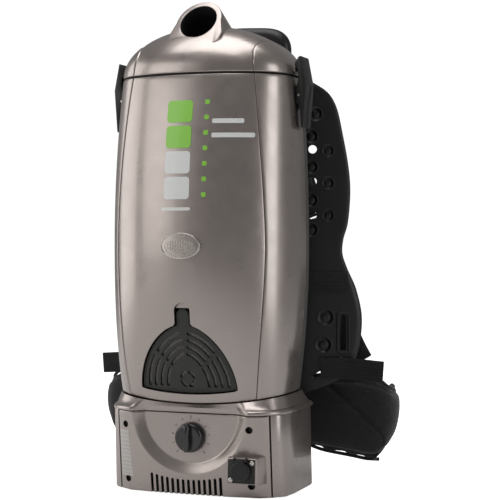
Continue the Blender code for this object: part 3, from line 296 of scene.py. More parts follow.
def cloth(name, colour, pitch=0.0016, roughness=0.85, sheen=0.25):
    """Padded nylon: woven surface, soft creases, lint and a faint sheen."""
    s = Shader(name, colour, roughness)
    weave = knot_lattice(s, pitch)
    creases = s.noise(38, 4.0, roughness=0.6)
    lint = s.noise(420, 2.0)
    base = s.blend_colour(s.spread(weave, -1, 1, 0, 1), shade_of(colour, 0.7), shade_of(colour, 1.5))
    worn = s.blend_colour(s.spread(creases, 0.45, 0.75, 0, 0.35), base, tuple(c + 0.02 for c in colour))
    s.colour(s.blend_colour(s.spread(lint, 0.66, 0.74, 0, 0.4), worn, tuple(c + 0.06 for c in colour)))
    s.roughness(s.spread(creases, 0.3, 0.7, roughness - 0.08, roughness + 0.06))
    height = s.math("ADD", s.math("MULTIPLY", weave, 0.25), s.math("MULTIPLY", creases, 3.0))
    s.bump(height, 0.0004, 0.55)
    s.set(Sheen_Weight=sheen, Sheen_Roughness=0.5, Specular_IOR_Level=0.25)
    return s.material


def web(name, colour):
    """Polyester webbing: ribs across it and a twill along it, from the strap's own lengths."""
    s = Shader(name, colour, 0.8)
    uv = s.node("UVMap", uv_map="strap")
    split = s.node("SeparateXYZ")
    s.link(uv.outputs["UV"], split.inputs[0])
    along, across = split.outputs[0], split.outputs[1]
    ribs = s.math("SINE", s.math("MULTIPLY", along, 2 * math.pi / 0.0018))
    twill = s.math("SINE", s.math("MULTIPLY", s.math("ADD", along, across), 2 * math.pi / 0.0026))
    fold = s.math("SINE", s.math("MULTIPLY", across, 2 * math.pi / 0.0042))
    height = s.math("ADD", s.math("MULTIPLY", ribs, 0.5), s.math("ADD", twill, s.math("MULTIPLY", fold, 0.6)))
    s.colour(s.blend_colour(s.spread(height, -2, 2, 0, 1), shade_of(colour, 0.55), shade_of(colour, 1.7)))
    s.roughness(s.spread(s.noise(60, 3), 0.3, 0.7, 0.72, 0.88))
    s.bump(height, 0.00025, 0.6)
    s.set(Sheen_Weight=0.12, Sheen_Roughness=0.4, Specular_IOR_Level=0.25)
    return s.material


def foam(name, colour):
    """Open-cell filter foam."""
    s = Shader(name, colour, 0.95)
    cells = s.node("TexVoronoi", feature="F1")
    cells.inputs["Scale"].default_value = 700
    s.link(s.place(), cells.inputs["Vector"])
    s.colour(s.blend_colour(cells.outputs["Distance"], shade_of(colour, 1.25), shade_of(colour, 0.4)))
    s.bump(cells.outputs["Distance"], 0.0006, 0.9)
    return s.material


def paper(name, colour):
    """Layered filter paper with fibres and soft creases."""
    s = Shader(name, colour, 0.9)
    fibres = s.noise(900, 4.0, roughness=0.7)
    creases = s.noise(30, 5.0, roughness=0.65)
    tint = s.blend_colour(s.spread(fibres, 0.35, 0.65, 0, 1), shade_of(colour, 0.85), shade_of(colour, 1.05))
    s.colour(s.blend_colour(s.spread(creases, 0.4, 0.7, 0, 0.3), tint, shade_of(colour, 0.7)))
    s.bump(s.math("ADD", creases, s.math("MULTIPLY", fibres, 0.15)), 0.001, 0.5)
    return s.material


def label_material():
    """Pale film label whose printing is only a few plain grey bars."""
    s = Shader("label_film", (0.42, 0.4, 0.38), 0.4)
    split = s.node("SeparateXYZ")
    s.link(s.place(), split.inputs[0])
    stripe = s.math("SINE", s.math("MULTIPLY", split.outputs[2], 2 * math.pi / (4.6 * MM)))
    bars = s.spread(stripe, 0.3, 0.7, 0, 0.4)
    s.colour(s.blend_colour(bars, (0.42, 0.4, 0.38), (0.24, 0.22, 0.21)))
    s.roughness(s.spread(s.noise(200, 2), 0.3, 0.7, 0.35, 0.5))
    return s.material


SILVER = (0.335, 0.292, 0.272)
MATERIALS = {
    "silver": paint("silver_paint", SILVER),
    "rear_grey": moulded("rear_shell_plastic", (0.07, 0.068, 0.065), 0.42),
    "black": moulded("black_plastic", (0.0075, 0.0072, 0.007), 0.42),
    "plate": moulded("back_plate_plastic", (0.0062, 0.0062, 0.006), 0.38, 1800, 0.00003, 0.06),
    "grille": moulded("grille_plastic", (0.024, 0.024, 0.022), 0.5),
    "gloss": polished("gloss_black", (0.008, 0.008, 0.0085)),
    "latch": moulded("latch_plastic", (0.011, 0.0105, 0.01), 0.34),
    "rubber": moulded("rubber", (0.005, 0.005, 0.005), 0.7),
    "steel": metal("plated_steel", (0.62, 0.6, 0.56)),
    "dark_steel": metal("blackened_steel", (0.035, 0.033, 0.032), 0.4),
    "copper": metal("copper_winding", (0.55, 0.24, 0.1), 0.35),
    "board": moulded("circuit_board", (0.02, 0.1, 0.045), 0.4),
    "wrap": polished("battery_wrap", (0.03, 0.09, 0.24), 0.3),
    "pad": cloth("pad_fabric", (0.0085, 0.0085, 0.009)),
    "mesh": cloth("mesh_lining", (0.012, 0.012, 0.013), 0.003),
    "binding": cloth("binding_tape", (0.006, 0.006, 0.0065), 0.0011, 0.75),
    "web": web("webbing", (0.011, 0.011, 0.011)),
    "foam": foam("filter_foam", (0.3, 0.29, 0.26)),
    "paper": paper("filter_paper", (0.62, 0.6, 0.54)),
    "badge": paint("badge_plating", (0.43, 0.39, 0.36), 0.24),
    "green": polished("green_ink", (0.22, 0.52, 0.06), 0.3),
    "white": polished("white_ink", (0.62, 0.63, 0.62), 0.3),
    # near-black painted shade for gaps, recesses and hidden insides where only shade falls
    "painted_shade": moulded("shadow_gap", (0.004, 0.004, 0.004), 0.9),
    "label": label_material(),
}


# ---------------------------------------------------------------- mesh helpers


def finish_mesh(obj, angle):
    mesh = obj.data
    mesh.shade_smooth()
    mesh.set_sharp_from_angle(angle=math.radians(angle))


def piece(name, bm, look, body="casing", nodes=(), angle=38, shown=True):
    """One named visible piece from a bmesh; `nodes` are the CAD nodes it stands for."""
    bmesh.ops.remove_doubles(bm, verts=bm.verts, dist=1e-7)
    bmesh.ops.recalc_face_normals(bm, faces=bm.faces)
    mesh = bpy.data.meshes.new(name)
    bm.to_mesh(mesh)
    bm.free()
    obj = bpy.data.objects.new(name, mesh)
    bpy.context.scene.collection.objects.link(obj)
    mesh.materials.append(MATERIALS[look])
    finish_mesh(obj, angle)
    if shown:
        claim(obj, body, nodes)
    return obj


def claim(obj, body, nodes):
    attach(obj, body)
    if nodes:
        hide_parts(*nodes)


def evaluated(obj):
    """The object's mesh with its modifiers applied, as a bmesh."""
    bm = bmesh.new()
    graph = bpy.context.evaluated_depsgraph_get()
    bm.from_mesh(obj.evaluated_get(graph).to_mesh())
    return bm


def bake(obj, angle=38):
    """Applies the object's modifiers to its own mesh."""
    bm = evaluated(obj)
    obj.modifiers.clear()
    bmesh.ops.remove_doubles(bm, verts=bm.verts, dist=1e-6)
    bm.to_mesh(obj.data)
    bm.free()
    finish_mesh(obj, angle)
    return obj


def tool(bm, look):
    """A cutter or an addition for a Boolean, removed once it has been used."""
    return piece("tool", bm, look, shown=False)


def carve(obj, cutters, operation="DIFFERENCE", angle=38):
    """Boolean with each (bmesh, look); new faces take that cutter's look."""
    for cutter, look in cutters:
        other = tool(cutter, look)
        modifier = obj.modifiers.new("cut", "BOOLEAN")
        modifier.operation = operation
        modifier.solver = "EXACT"
        modifier.object = other
        modifier.material_mode = "TRANSFER"
        bm = evaluated(obj)
        graph = bpy.context.evaluated_depsgraph_get()
        slots = list(obj.evaluated_get(graph).data.materials)
        obj.modifiers.clear()
        bm.to_mesh(obj.data)
        bm.free()
        obj.data.materials.clear()
        for m in slots:
            obj.data.materials.append(bpy.data.materials[m.name])
        bpy.data.objects.remove(other)
    finish_mesh(obj, angle)
    return obj


def smooth_step(t):
    t = min(max(t, 0.0), 1.0)
    return t * t * (3 - 2 * t)


def spread(start, end, count):
    return [start + (end - start) * k / (count - 1) for k in range(count)]


def in_metres(profile):
    """A profile of pairs in millimetres, as metres."""
    return [(r * MM, h * MM) for r, h in profile]


def turns(count, start=0.0):
    """Evenly spaced angles round a full circle."""
    return [2 * math.pi * (k + start) / count for k in range(count)]


def between(a, b, count):
    """Points strictly between two points."""
    return [a.lerp(b, t) for t in spread(0, 1, count)[1:-1]]


def catmull(points, count):
    """Smooth curve through points, read at count places."""
    pts = [Vector(p) for p in points]
    pts = [2 * pts[0] - pts[1], *pts, 2 * pts[-1] - pts[-2]]
    spans = len(pts) - 3
    curve = []
    for k in range(count):
        position = min(k * spans / (count - 1), spans - 1e-9)
        i = int(position)
        t = position - i
        p0, p1, p2, p3 = pts[i : i + 4]
        square, cube = 2 * p0 - 5 * p1 + 4 * p2 - p3, 3 * p1 - p0 - 3 * p2 + p3
        curve.append(0.5 * (2 * p1 + (p2 - p0) * t + square * t**2 + cube * t**3))
    return curve


def side_path(points, side, count):
    """Smooth path through right-hand points in millimetres, mirrored for the left side."""
    return catmull([(side * x * MM, y * MM, z * MM) for x, y, z in points], count)


def loft(rings, closed=False):
    """Closed solid through rings of equal length, capped at both ends, or joined end to end if closed."""
    bm = bmesh.new()
    made = [[bm.verts.new(p) for p in ring] for ring in rings]
    count = len(rings[0])
    pairs = list(zip(made, made[1:]))
    if closed:
        pairs.append((made[-1], made[0]))
    for low, high in pairs:
        for i in range(count):
            j = (i + 1) % count
            bm.faces.new((low[i], low[j], high[j], high[i]))
    if not closed:
        bm.faces.new(made[0])
        bm.faces.new(made[-1])
    return bm


def prism(outline, direction):
    shift = Vector(direction)
    return loft([[Vector(p) for p in outline], [Vector(p) + shift for p in outline]])


def box(low, high, bevel=0.0, segments=3):
    low, high = Vector(low), Vector(high)
    outline = [(low.x, low.y, low.z), (high.x, low.y, low.z), (high.x, high.y, low.z), (low.x, high.y, low.z)]
    return rounded(prism(outline, (0, 0, high.z - low.z)), bevel, segments)


def rounded(bm, width, segments=3, angle=25):
    """Rounds the sharp edges of a bmesh."""
    if width > 0:
        bmesh.ops.recalc_face_normals(bm, faces=bm.faces)
        edges = [e for e in bm.edges if e.is_manifold and e.calc_face_angle(0) > math.radians(angle)]
        bmesh.ops.bevel(
            bm, geom=edges, offset=width, segments=segments, profile=0.5, affect="EDGES", clamp_overlap=True
        )
    return bm


def axis_frame(axis):
    return Vector((0, 0, 1)).rotation_difference(Vector(axis)).to_matrix().to_4x4()


def turned(profile, centre, axis, segments=48):
    """Solid turned from a closed profile of (radius, distance along the axis)."""
    bm = bmesh.new()
    place = Matrix.Translation(Vector(centre)) @ axis_frame(axis)
    poles = {i: bm.verts.new(place @ Vector((0, 0, h))) for i, (r, h) in enumerate(profile) if r == 0}
    columns = []
    for k in range(segments):
        angle = 2 * math.pi * k / segments
        columns.append([
            poles.get(i) or bm.verts.new(place @ Vector((r * math.cos(angle), r * math.sin(angle), h)))
            for i, (r, h) in enumerate(profile)
        ])
    for k in range(segments):
        this, following = columns[k], columns[(k + 1) % segments]
        for i in range(len(profile)):
            j = (i + 1) % len(profile)
            corners = list(dict.fromkeys((this[i], this[j], following[j], following[i])))
            if len(corners) > 2:
                bm.faces.new(corners)
    return bm


def cylinder(radius, start, axis, length, segments=40):
    place = Matrix.Translation(Vector(start)) @ axis_frame(axis)
    ring = [Vector((radius * math.cos(a), radius * math.sin(a), 0)) for a in turns(segments, 0.5)]
    return loft([[place @ p for p in ring], [place @ (p + Vector((0, 0, length))) for p in ring]])


def merged(parts):
    """One bmesh that holds several closed bodies."""
    bm = bmesh.new()
    for part in parts:
        mesh = bpy.data.meshes.new("part")
        part.to_mesh(mesh)
        part.free()
        bm.from_mesh(mesh)
        bpy.data.meshes.remove(mesh)
    return bm


def mirrored(bm, side):
    if side < 0:
        bmesh.ops.scale(bm, vec=(-1, 1, 1), verts=bm.verts)
        bmesh.ops.reverse_faces(bm, faces=bm.faces)
    return bm


def path_frames(path, across):
    """Tangent, sideways and normal directions at each point of a path."""
    frames = []
    for i in range(len(path)):
        tangent = (path[min(i + 1, len(path) - 1)] - path[max(i - 1, 0)]).normalized()
        side = Vector(across[i] if isinstance(across, list) else across)
        side = (side - tangent * side.dot(tangent)).normalized()
        frames.append((tangent, side, tangent.cross(side).normalized()))
    return frames


def sweep(path, across, section, closed=False):
    """Solid with a closed section of (sideways, normal) offsets along a path; it may vary by index."""
    rings = []
    for i, (point, (_, side, normal)) in enumerate(zip(path, path_frames(path, across))):
        offsets = section(i) if callable(section) else section
        rings.append([point + side * u + normal * v for u, v in offsets])
    return loft(rings, closed)


def round_section(radius, other=None, count=16):
    other = other or radius
    return [(radius * math.cos(a), other * math.sin(a)) for a in turns(count)]


def strap_section(width, thickness, count=13):
    """Webbing section: flat faces, soft selvedges, slightly thinner just inside them."""
    half, thin = width / 2, thickness / 2
    us = [half * math.sin(math.pi / 2 * t) for t in spread(-1, 1, count)]
    tops = [thin * (1 - 0.75 * abs(u / half) ** 14) for u in us]
    upper = list(zip(us, tops))
    return upper + [(u, -v) for u, v in reversed(upper)]


def strap_uv(bm, path, across, width):
    """Lengths along and across a strap, in metres, as its UV map."""
    layer = bm.loops.layers.uv.new("strap")
    frames = path_frames(path, across)
    lengths = [0.0]
    for a, b in zip(path, path[1:]):
        lengths.append(lengths[-1] + (b - a).length)
    points = np.array([tuple(p) for p in path])
    for face in bm.faces:
        for corner in face.loops:
            co = np.array(corner.vert.co)
            i = int(((points - co) ** 2).sum(axis=1).argmin())
            tangent, side, _ = frames[i]
            offset = corner.vert.co - path[i]
            corner[layer].uv = (lengths[i] + offset.dot(tangent), offset.dot(side) + width / 2)


def webbing(name, path, across, width, nodes, thickness=WEBBING_THICKNESS):
    """Flat strap with soft selvedges; its ribs and twill come from its material."""
    bm = sweep(path, across, strap_section(width, thickness))
    strap_uv(bm, path, across, width)
    return piece(name, bm, "web", nodes=nodes, angle=60)


def bead(path, radius, name, look, body="casing", closed=False, across=(0, 1, 0)):
    return piece(name, sweep(path, across, round_section(radius, count=8), closed), look, body, angle=80)


# ---------------------------------------------------------------- the casing's shape


def canister_size(z, inset=0.0):
    """Half-width, front depth, rear depth and front power of the canister's section at height z."""
    if z < CAN_BELLY_Z:
        share, taper = ((CAN_BELLY_Z - z) / CAN_FOOT_REACH) ** 2, CAN_FOOT_TAPER
        power = CAN_FOOT_SQUARING * share
    else:
        share, taper = ((z - CAN_BELLY_Z) / CAN_TOP_REACH) ** 2, CAN_TOP_TAPER
        power = 0.0
    half_width, front = CAN_HALF_WIDTH - taper[0] * share, CAN_FRONT - taper[1] * share
    return half_width - inset, front - inset, CAN_REAR - inset, CAN_FRONT_POWER + power


def polar_radius(angle, half_width, depth, power):
    c, s = abs(math.cos(angle)), abs(math.sin(angle))
    return ((c / half_width) ** power + (s / depth) ** power) ** (-1 / power)


def canister_point(angle, z, inset=0.0):
    """Point on the canister's wall at a polar angle, 0 at +X and -90 degrees at the front."""
    half_width, front, rear, power = canister_size(z, inset)
    if math.sin(angle) <= 0:
        r = polar_radius(angle, half_width, front, power)
    else:
        r = polar_radius(angle, half_width, rear, CAN_REAR_POWER)
    return Vector((r * math.cos(angle), r * math.sin(angle), z))


def canister_front_y(x, z, inset=0.0):
    half_width, front, _, power = canister_size(z, inset)
    return -front * (1 - min(abs(x) / half_width, 0.999) ** power) ** (1 / power)


def seam_z(point):
    """Height of the canister's lower edge, which sags in an arc across the front."""
    half_width, front = canister_size(CAN_BOTTOM_Z)[:2]
    across = 1 - min(abs(point.x) / half_width, 1.0) ** 2
    ahead = min(max(0.0, -point.y) / (0.5 * front), 1.0)
    return CAN_BOTTOM_Z - SEAM_DIP * across * ahead


def base_size(z, inset=0.0):
    share = min(z / BASE_TOP_Z, 1.0)
    half_width = BASE_HALF_WIDTH + BASE_SPREAD * (1 - share)
    return half_width - inset, BASE_FRONT_FOOT + BASE_LEAN * share - inset, BASE_REAR - inset


def recess_share(x, z):
    """1 inside the recess around the knob, 0 outside it, with a flat sloping wall between."""
    r = math.hypot(x, min(z, RECESS_CENTRE_Z) - RECESS_CENTRE_Z)
    t = (RECESS_OUTER_R - r) / (RECESS_OUTER_R - RECESS_INNER_R)
    soft = 0.07
    if t <= -soft or t >= 1 + soft:
        return 0.0 if t < 0.5 else 1.0
    if t < soft:
        return (t + soft) ** 2 / (4 * soft)
    if t > 1 - soft:
        return 1 - (1 + soft - t) ** 2 / (4 * soft)
    return t


def base_front_y(x, z, inset=0.0):
    half_width, front, _ = base_size(z)
    y = -front * (1 - min(abs(x) / half_width, 0.999) ** BASE_POWER) ** (1 / BASE_POWER)
    share = recess_share(x, z)
    return y + share * (max(RECESS_Y, y) - y) + inset


def base_point(angle, z, inset=0.0):
    half_width, front, rear = base_size(z, inset)
    if math.sin(angle) > 0:
        r = polar_radius(angle, half_width, rear, BASE_REAR_POWER)
        return Vector((r * math.cos(angle), r * math.sin(angle), z))
    r = polar_radius(angle, half_width, front, BASE_POWER)
    point = Vector((r * math.cos(angle), r * math.sin(angle), z))
    share = recess_share(point.x, z)
    point.y += share * (max(RECESS_Y + inset, point.y) - point.y)
    return point


def wall_patch(half_width, low_z, high_z, outer, inner, columns, rows):
    """Curved slab of the canister's front wall, between two insets from its surface."""
    rings = []
    for z in spread(low_z, high_z, rows):
        xs = spread(-half_width, half_width, columns)
        ring = [Vector((x, canister_front_y(x, z) + outer, z)) for x in xs]
        ring += [Vector((x, canister_front_y(x, z) + inner, z)) for x in reversed(xs)]
        rings.append(ring)
    return loft(rings)


# ---------------------------------------------------------------- base


GAP_HALF = 1.6 * MM  # shadow gap between the panel's end and the housing


def base_housing():
    """Skirt and flange: walls with corner pilasters, an overhanging flange and a slope up to the seam."""
    angles = turns(360, 0.5)

    def wall(angle, z, inset):
        """Wall point, with a convex pilaster on each front corner beside the panel."""
        point = base_point(angle, z, inset)
        limit = -22 * MM - 12 * MM * z / BASE_TOP_Z
        gap_y = base_front_y(PANEL_HALF_WIDTH + GAP_HALF, z)
        t = (limit - point.y) / (limit - gap_y)
        bump = 2.2 * MM * (1 - (2 * t - 1) ** 2) if 0 < t < 1 else 0
        return raised(point, bump)

    def flange(angle, share, z, inset, over=0.0):
        low = base_point(angle, BASE_TOP_Z, inset)
        low = raised(low, over * (1 - recess_share(low.x, BASE_TOP_Z)))
        high = canister_point(angle, CAN_BOTTOM_Z, inset - 1.5 * MM)
        point = low.lerp(high, share)
        point.z = z if z else seam_z(high) - 1.4 * MM
        return point

    def rings(inset, walls, edge):
        made = [[wall(a, z * MM, inset + extra * MM) for a in angles] for z, extra in walls]
        made += [[flange(a, share, z * MM, inset, over * MM) for a in angles] for share, z, over in edge]
        share, z, over = edge[-1]
        lean, top = [], []
        for a in angles:
            start, end = flange(a, share, z * MM, inset, over * MM), flange(a, 0.9, None, inset)
            lean.append(start.lerp(end, 0.5))
            top.append(end)
        return made + [lean, top]

    edge = [(0, 92.2, 1.2), (0, 92.6, 2.2), (0, 93.3, 2.9), (0, 94.4, 3.1)]
    edge += [(0.006, 95.6, 2.9), (0.022, 96.5, 2.4), (0.05, 97.3, 1.8), (0.085, 97.9, 1), (0.125, 98.4, 0)]
    outer = rings(0, [(1, 0.7), (1.4, 0.2), (2.2, 0), (30, 0), (60, 0), (91.7, 0), (92, 0.1)], edge)
    inner = rings(3 * MM, [(1, 0), (92, 0)], [(0, 95, 0), (0.12, 97.6, 0)])
    obj = piece("base_housing", loft(outer + inner[::-1], closed=True), "silver", nodes=["base_housing"])
    half = PANEL_HALF_WIDTH + GAP_HALF
    cutters = [(box((-half, -90 * MM, -5 * MM), (half, -32 * MM, BASE_TOP_Z + 0.7 * MM)), "silver")]
    carve(obj, cutters)


def front_panel():
    """Panel with the U-shaped recess, socket boss, vents and screw holes."""
    rings = []
    rows = [1 * MM, 1.5 * MM, 2.2 * MM] + spread(3.2 * MM, BASE_TOP_Z - 1.6 * MM, 88)
    rows += [BASE_TOP_Z - 0.9 * MM, BASE_TOP_Z - 0.5 * MM]
    for i, z in enumerate(rows):
        end = min(i, len(rows) - 1 - i)
        tuck = (0.7, 0.2)[end] * MM if end < 2 else 0
        xs = [-PANEL_HALF_WIDTH, -PANEL_HALF_WIDTH + 0.3 * MM, -PANEL_HALF_WIDTH + 0.8 * MM]
        xs += spread(-89.5 * MM, 89.5 * MM, 180)
        xs += [-x for x in xs[2::-1]]
        ring = []
        for j, x in enumerate(xs):
            edge = min(j, len(xs) - 1 - j)
            side_tuck = (0.8, 0.2)[edge] * MM if edge < 2 else 0
            ring.append(Vector((x, base_front_y(x, z) + max(tuck, side_tuck), z)))
        backs = spread(PANEL_HALF_WIDTH, -PANEL_HALF_WIDTH, 21)
        ring += [Vector((x, base_front_y(x, z, 3 * MM), z)) for x in backs]
        rings.append(ring)
    obj = piece("base_front_panel", loft(rings), "silver", nodes=["base_front_panel"])
    half_w, half_h = SOCKET_HALF[0] + 1.2 * MM, SOCKET_HALF[1] + 1.2 * MM
    boss = loft([
        [(SOCKET_X + s * (half_w + flare * (1 if s > 0 else 0.4)), y, SOCKET_Z + t * (half_h + flare / 3))
         for s, t in ((-1, -1), (1, -1), (1, 1), (-1, 1))]
        for flare, y in ((0, -70.4 * MM), (5 * MM, -48 * MM))
    ])
    carve(obj, [(rounded(boss, 1.1 * MM, 3), "silver")], "UNION")
    hollow = box(
        (SOCKET_X - 13 * MM, -80 * MM, SOCKET_Z - 12 * MM), (SOCKET_X + 13 * MM, -30 * MM, SOCKET_Z + 12 * MM)
    )
    holes = [cylinder(3.9 * MM, (x, -90 * MM, z), (0, 1, 0), 70 * MM, 32) for x, z in PANEL_SCREWS]
    holes.append(cylinder(4.2 * MM, (0, -80 * MM, KNOB_Z), (0, 1, 0), 60 * MM, 32))
    cuts = merged([hollow, *holes, *vent_prisms()])
    return carve(obj, [(cuts, "silver")])


def vent_prisms():
    """Upright slots whose tops follow the recess, open at the panel's lower edge."""
    pitch, half_slot, count = 6.38 * MM, 1.7 * MM, 14
    parts = []
    for k in range(count):
        x = k * pitch - 46.3 * MM
        share = 2 * k / (count - 1) - 1
        top = (18 + 5 * share * share - 0.5 * share) * MM
        outline = [(x - half_slot, -90 * MM, -2 * MM), (x + half_slot, -90 * MM, -2 * MM)]
        for t in spread(0, math.pi, 7):
            outline.append((x + half_slot * math.cos(t), -90 * MM, top - half_slot * (1 - math.sin(t)) * 0.8))
        parts.append(prism(outline, (0, 60 * MM, 0)))
    return parts


def vent_shade_sheet():
    """Near-black inside wall seen through the vents, its colour painted shade."""
    rings = []
    for z in spread(1.5 * MM, 30 * MM, 5):
        xs = spread(-48 * MM, 48 * MM, 25)
        ring = [Vector((x, base_front_y(x, z, 7 * MM), z)) for x in xs]
        ring += [Vector((x, base_front_y(x, z, 8.5 * MM), z)) for x in reversed(xs)]
        rings.append(ring)
    piece("vent_shade_sheet", loft(rings), "painted_shade")


def panel_screws():
    for k, (x, z) in enumerate(PANEL_SCREWS):
        head_y = base_front_y(x, z) + 4.6 * MM
        profile = [(0, 0.3), (2.4, 0.1), (3.0, 0.5), (3.2, 1), (3.2, 1.8), (1.5, 2.2), (1.5, 12), (0, 13)]
        name = f"panel_screw_{k + 1}"
        head = turned(in_metres(profile), (x, head_y, z), (0, 1, 0), 28)
        obj = piece(name, head, "dark_steel", nodes=[name])
        carve(obj, [(cross_slot(x, head_y, z, 1.9 * MM, 0.4 * MM), "dark_steel")])


def cross_slot(x, y, z, reach, half):
    """Cutter for a cross recess in a screw's head."""
    outline = []
    for quarter in range(4):
        c, s = math.cos(quarter * math.pi / 2 + 0.5), math.sin(quarter * math.pi / 2 + 0.5)
        for u, v in ((reach, -half), (reach, half), (half, half)):
            outline.append((x + u * c - v * s, y - 2 * MM, z + u * s + v * c))
    return prism(outline, (0, 3 * MM, 0))


def speed_knob():
    """Gloss knob: a skirt, a domed face and a tapering grip ridge with a pointer groove."""
    face_y = RECESS_Y - 0.6 * MM
    axis = (0, 1, 0)
    skirt = [(0, -8.4), (9, -8.7), (12.9, -8.8), (14.5, -8.6), (15.5, -7.9), (16.2, -6.6), (16.8, -3.2)]
    skirt += [(17.1, -1.2), (17.1, -0.3), (16.8, 0), (0, 0)]
    disc = turned(in_metres(skirt), (0, face_y, KNOB_Z), axis, 96)
    knob = piece("speed_knob", disc, "gloss", "knob", ["speed_knob"])
    rings = []
    for depth, half, reach in ((-6, 5.0, 15.6), (-13.5, 4.0, 15.3), (-14.8, 3.5, 14.7), (-15.5, 2.6, 13.6)):
        ring = []
        for a in turns(56):
            c, s = math.cos(a), math.sin(a)
            waist = 1 - 0.2 * (1 - abs(s)) ** 2
            u = half * math.copysign(abs(c) ** 0.45, c) * waist
            v = reach * math.copysign(abs(s) ** 0.8, s)
            ring.append(Vector((u * MM, face_y + depth * MM, KNOB_Z + v * MM)))
        rings.append(ring)
    carve(knob, [(loft(rings), "gloss")], "UNION")
    groove = box((-0.45 * MM, face_y - 17 * MM, KNOB_Z + 5 * MM),
                 (0.45 * MM, face_y - 15 * MM, KNOB_Z + 17 * MM))
    bore = cylinder(3.4 * MM, (0, face_y - 5 * MM, KNOB_Z), axis, 12 * MM, 24)
    carve(knob, [(merged([groove, bore]), "gloss")])
    dial_ticks()


def dial_ticks():
    """Plain moulded ticks round the knob."""
    parts = []
    for k in range(11):
        a = math.radians(225 - 27 * k)
        inner, outer = 20.6 * MM, (23.2 if k % 5 else 24.4) * MM
        side = Vector((-math.sin(a), 0, math.cos(a))) * 0.32 * MM
        start = Vector((inner * math.cos(a), RECESS_Y - 0.28 * MM, KNOB_Z + inner * math.sin(a)))
        end = Vector((outer * math.cos(a), RECESS_Y - 0.28 * MM, KNOB_Z + outer * math.sin(a)))
        parts.append(prism([start - side, end - side, end + side, start + side], (0, 0.26 * MM, 0)))
    piece("dial_ticks", merged(parts), "black")


def charging_socket():
    """Flanged socket with contact pins, two face screws and the sprung cap on its hinge."""
    half_w, half_h = SOCKET_HALF
    y = SOCKET_FACE_Y
    flange = box((SOCKET_X - half_w, y, SOCKET_Z - half_h),
                 (SOCKET_X + half_w, y + 1.8 * MM, SOCKET_Z + half_h), 0.5 * MM, 2)
    obj = piece("charge_socket", flange, "black", nodes=["charge_socket"])
    barrel = cylinder(11 * MM, (SOCKET_X, y + 0.5 * MM, SOCKET_Z), (0, 1, 0), 26 * MM, 48)
    lugs = [box((SOCKET_X + low * MM, y - 4.6 * MM, CAP_HINGE[1] - 1.8 * MM),
                (SOCKET_X + (low + 2.4) * MM, y + 1 * MM, CAP_HINGE[1] + 1.8 * MM), 0.5 * MM, 2)
            for low in (-8, 5.6)]
    carve(obj, [(barrel, "black"), (merged(lugs), "black")], "UNION")
    cuts = [cylinder(8.6 * MM, (SOCKET_X, y - 5 * MM, SOCKET_Z), (0, 1, 0), 24 * MM, 48)]
    places = [(SOCKET_X + s * 12.4 * MM, SOCKET_Z + s * 9.7 * MM) for s in (1, -1)]
    cuts += [cylinder(1.9 * MM, (x, y - 5 * MM, z), (0, 1, 0), 20 * MM, 24) for x, z in places]
    carve(obj, [(merged(cuts), "black")])
    pins = [turned([(0, 0), (0.8 * MM, 0), (1.1 * MM, 0.4 * MM), (1.1 * MM, 8 * MM), (0, 8 * MM)],
                   (SOCKET_X + dx * MM, y + 11.5 * MM, SOCKET_Z), (0, 1, 0), 20) for dx in (-3.4, 3.4)]
    piece("contact_pins", merged(pins), "steel")
    for k, (x, z) in enumerate(places):
        head = [(0, -1.35), (1.2, -1.3), (2.1, -1.0), (2.6, -0.5), (2.7, -0.2), (1.5, -0.2)]
        head += [(1.5, 1.5), (0, 1.5)]
        name = f"socket_screw_{k + 1}"
        screw = piece(name, turned(in_metres(head), (x, y, z), (0, 1, 0), 28), "steel", nodes=[name])
        # each socket screw's cross recess is painted near black as painted shade
        carve(screw, [(cross_slot(x, y - 1.2 * MM, z, 1.7 * MM, 0.35 * MM), "painted_shade")])
    cap_y = y - 1.6 * MM
    profile = [(0, -2.7), (8.6, -2.7), (8.9, -3), (10.2, -2.9), (11, -2.4), (11.3, -1.6), (11.3, -0.2)]
    profile += [(11.1, 0), (0, 0)]
    disc = turned(in_metres(profile), (SOCKET_X, cap_y, SOCKET_Z), (0, 1, 0), 72)
    cap = piece("socket_cap", disc, "black", "dust_cap", ["socket_cap"])
    ear = box((SOCKET_X - 5 * MM, cap_y - 2.9 * MM, SOCKET_Z + 8 * MM),
              (SOCKET_X + 5 * MM, cap_y - 0.1 * MM, CAP_HINGE[1] + 1.4 * MM), 0.8 * MM, 3)
    carve(cap, [(ear, "black")], "UNION")


def label():
    """Thin film label on the panel's left, printed only with plain bars."""
    rings = []
    for z in spread(17 * MM, 70 * MM, 28):
        low, high = -88.5 * MM, -71 * MM + (z - 17 * MM) * -0.08
        xs = spread(low, high, 14)
        ring = [Vector((x, base_front_y(x, z) - 0.16 * MM, z)) for x in xs]
        ring += [Vector((x, base_front_y(x, z) - 0.03 * MM, z)) for x in reversed(xs)]
        rings.append(ring)
    piece("panel_label", loft(rings), "label")


# ---------------------------------------------------------------- canister


def smooth_edge(outline):
    """Fine points on a smooth curve through an outline of (height, half-width) in millimetres."""
    return catmull([(height * MM, half * MM, 0) for height, half in outline], 12 * len(outline))


def edge_width(edge, z):
    """Half-width at a height on a smooth edge."""
    for a, b in zip(edge, edge[1:]):
        if a.x <= z <= b.x:
            return a.y + (b.y - a.y) * (z - a.x) / max(b.x - a.x, 1e-9)
    return edge[-1].y if z > edge[-1].x else edge[0].y


CHEEK_HALF_WIDTH = 88.3 * MM
CHEEK_NARROWING = 5.6 * MM  # 100 mm above or below the belly
CHEEK_BEND = 1.6


def cheek_x(z):
    """Half-width at which the raised side cheeks begin, greatest at the belly."""
    return CHEEK_HALF_WIDTH - CHEEK_NARROWING * abs((z - CAN_BELLY_Z) / (100 * MM)) ** CHEEK_BEND


def angle_at_x(x, place):
    """Front-right angle at which place(angle) has the given x."""
    low, high = -math.pi / 2, 0.0
    for _ in range(30):
        middle = (low + high) / 2
        if place(middle).x < x:
            low = middle
        else:
            high = middle
    return (low + high) / 2


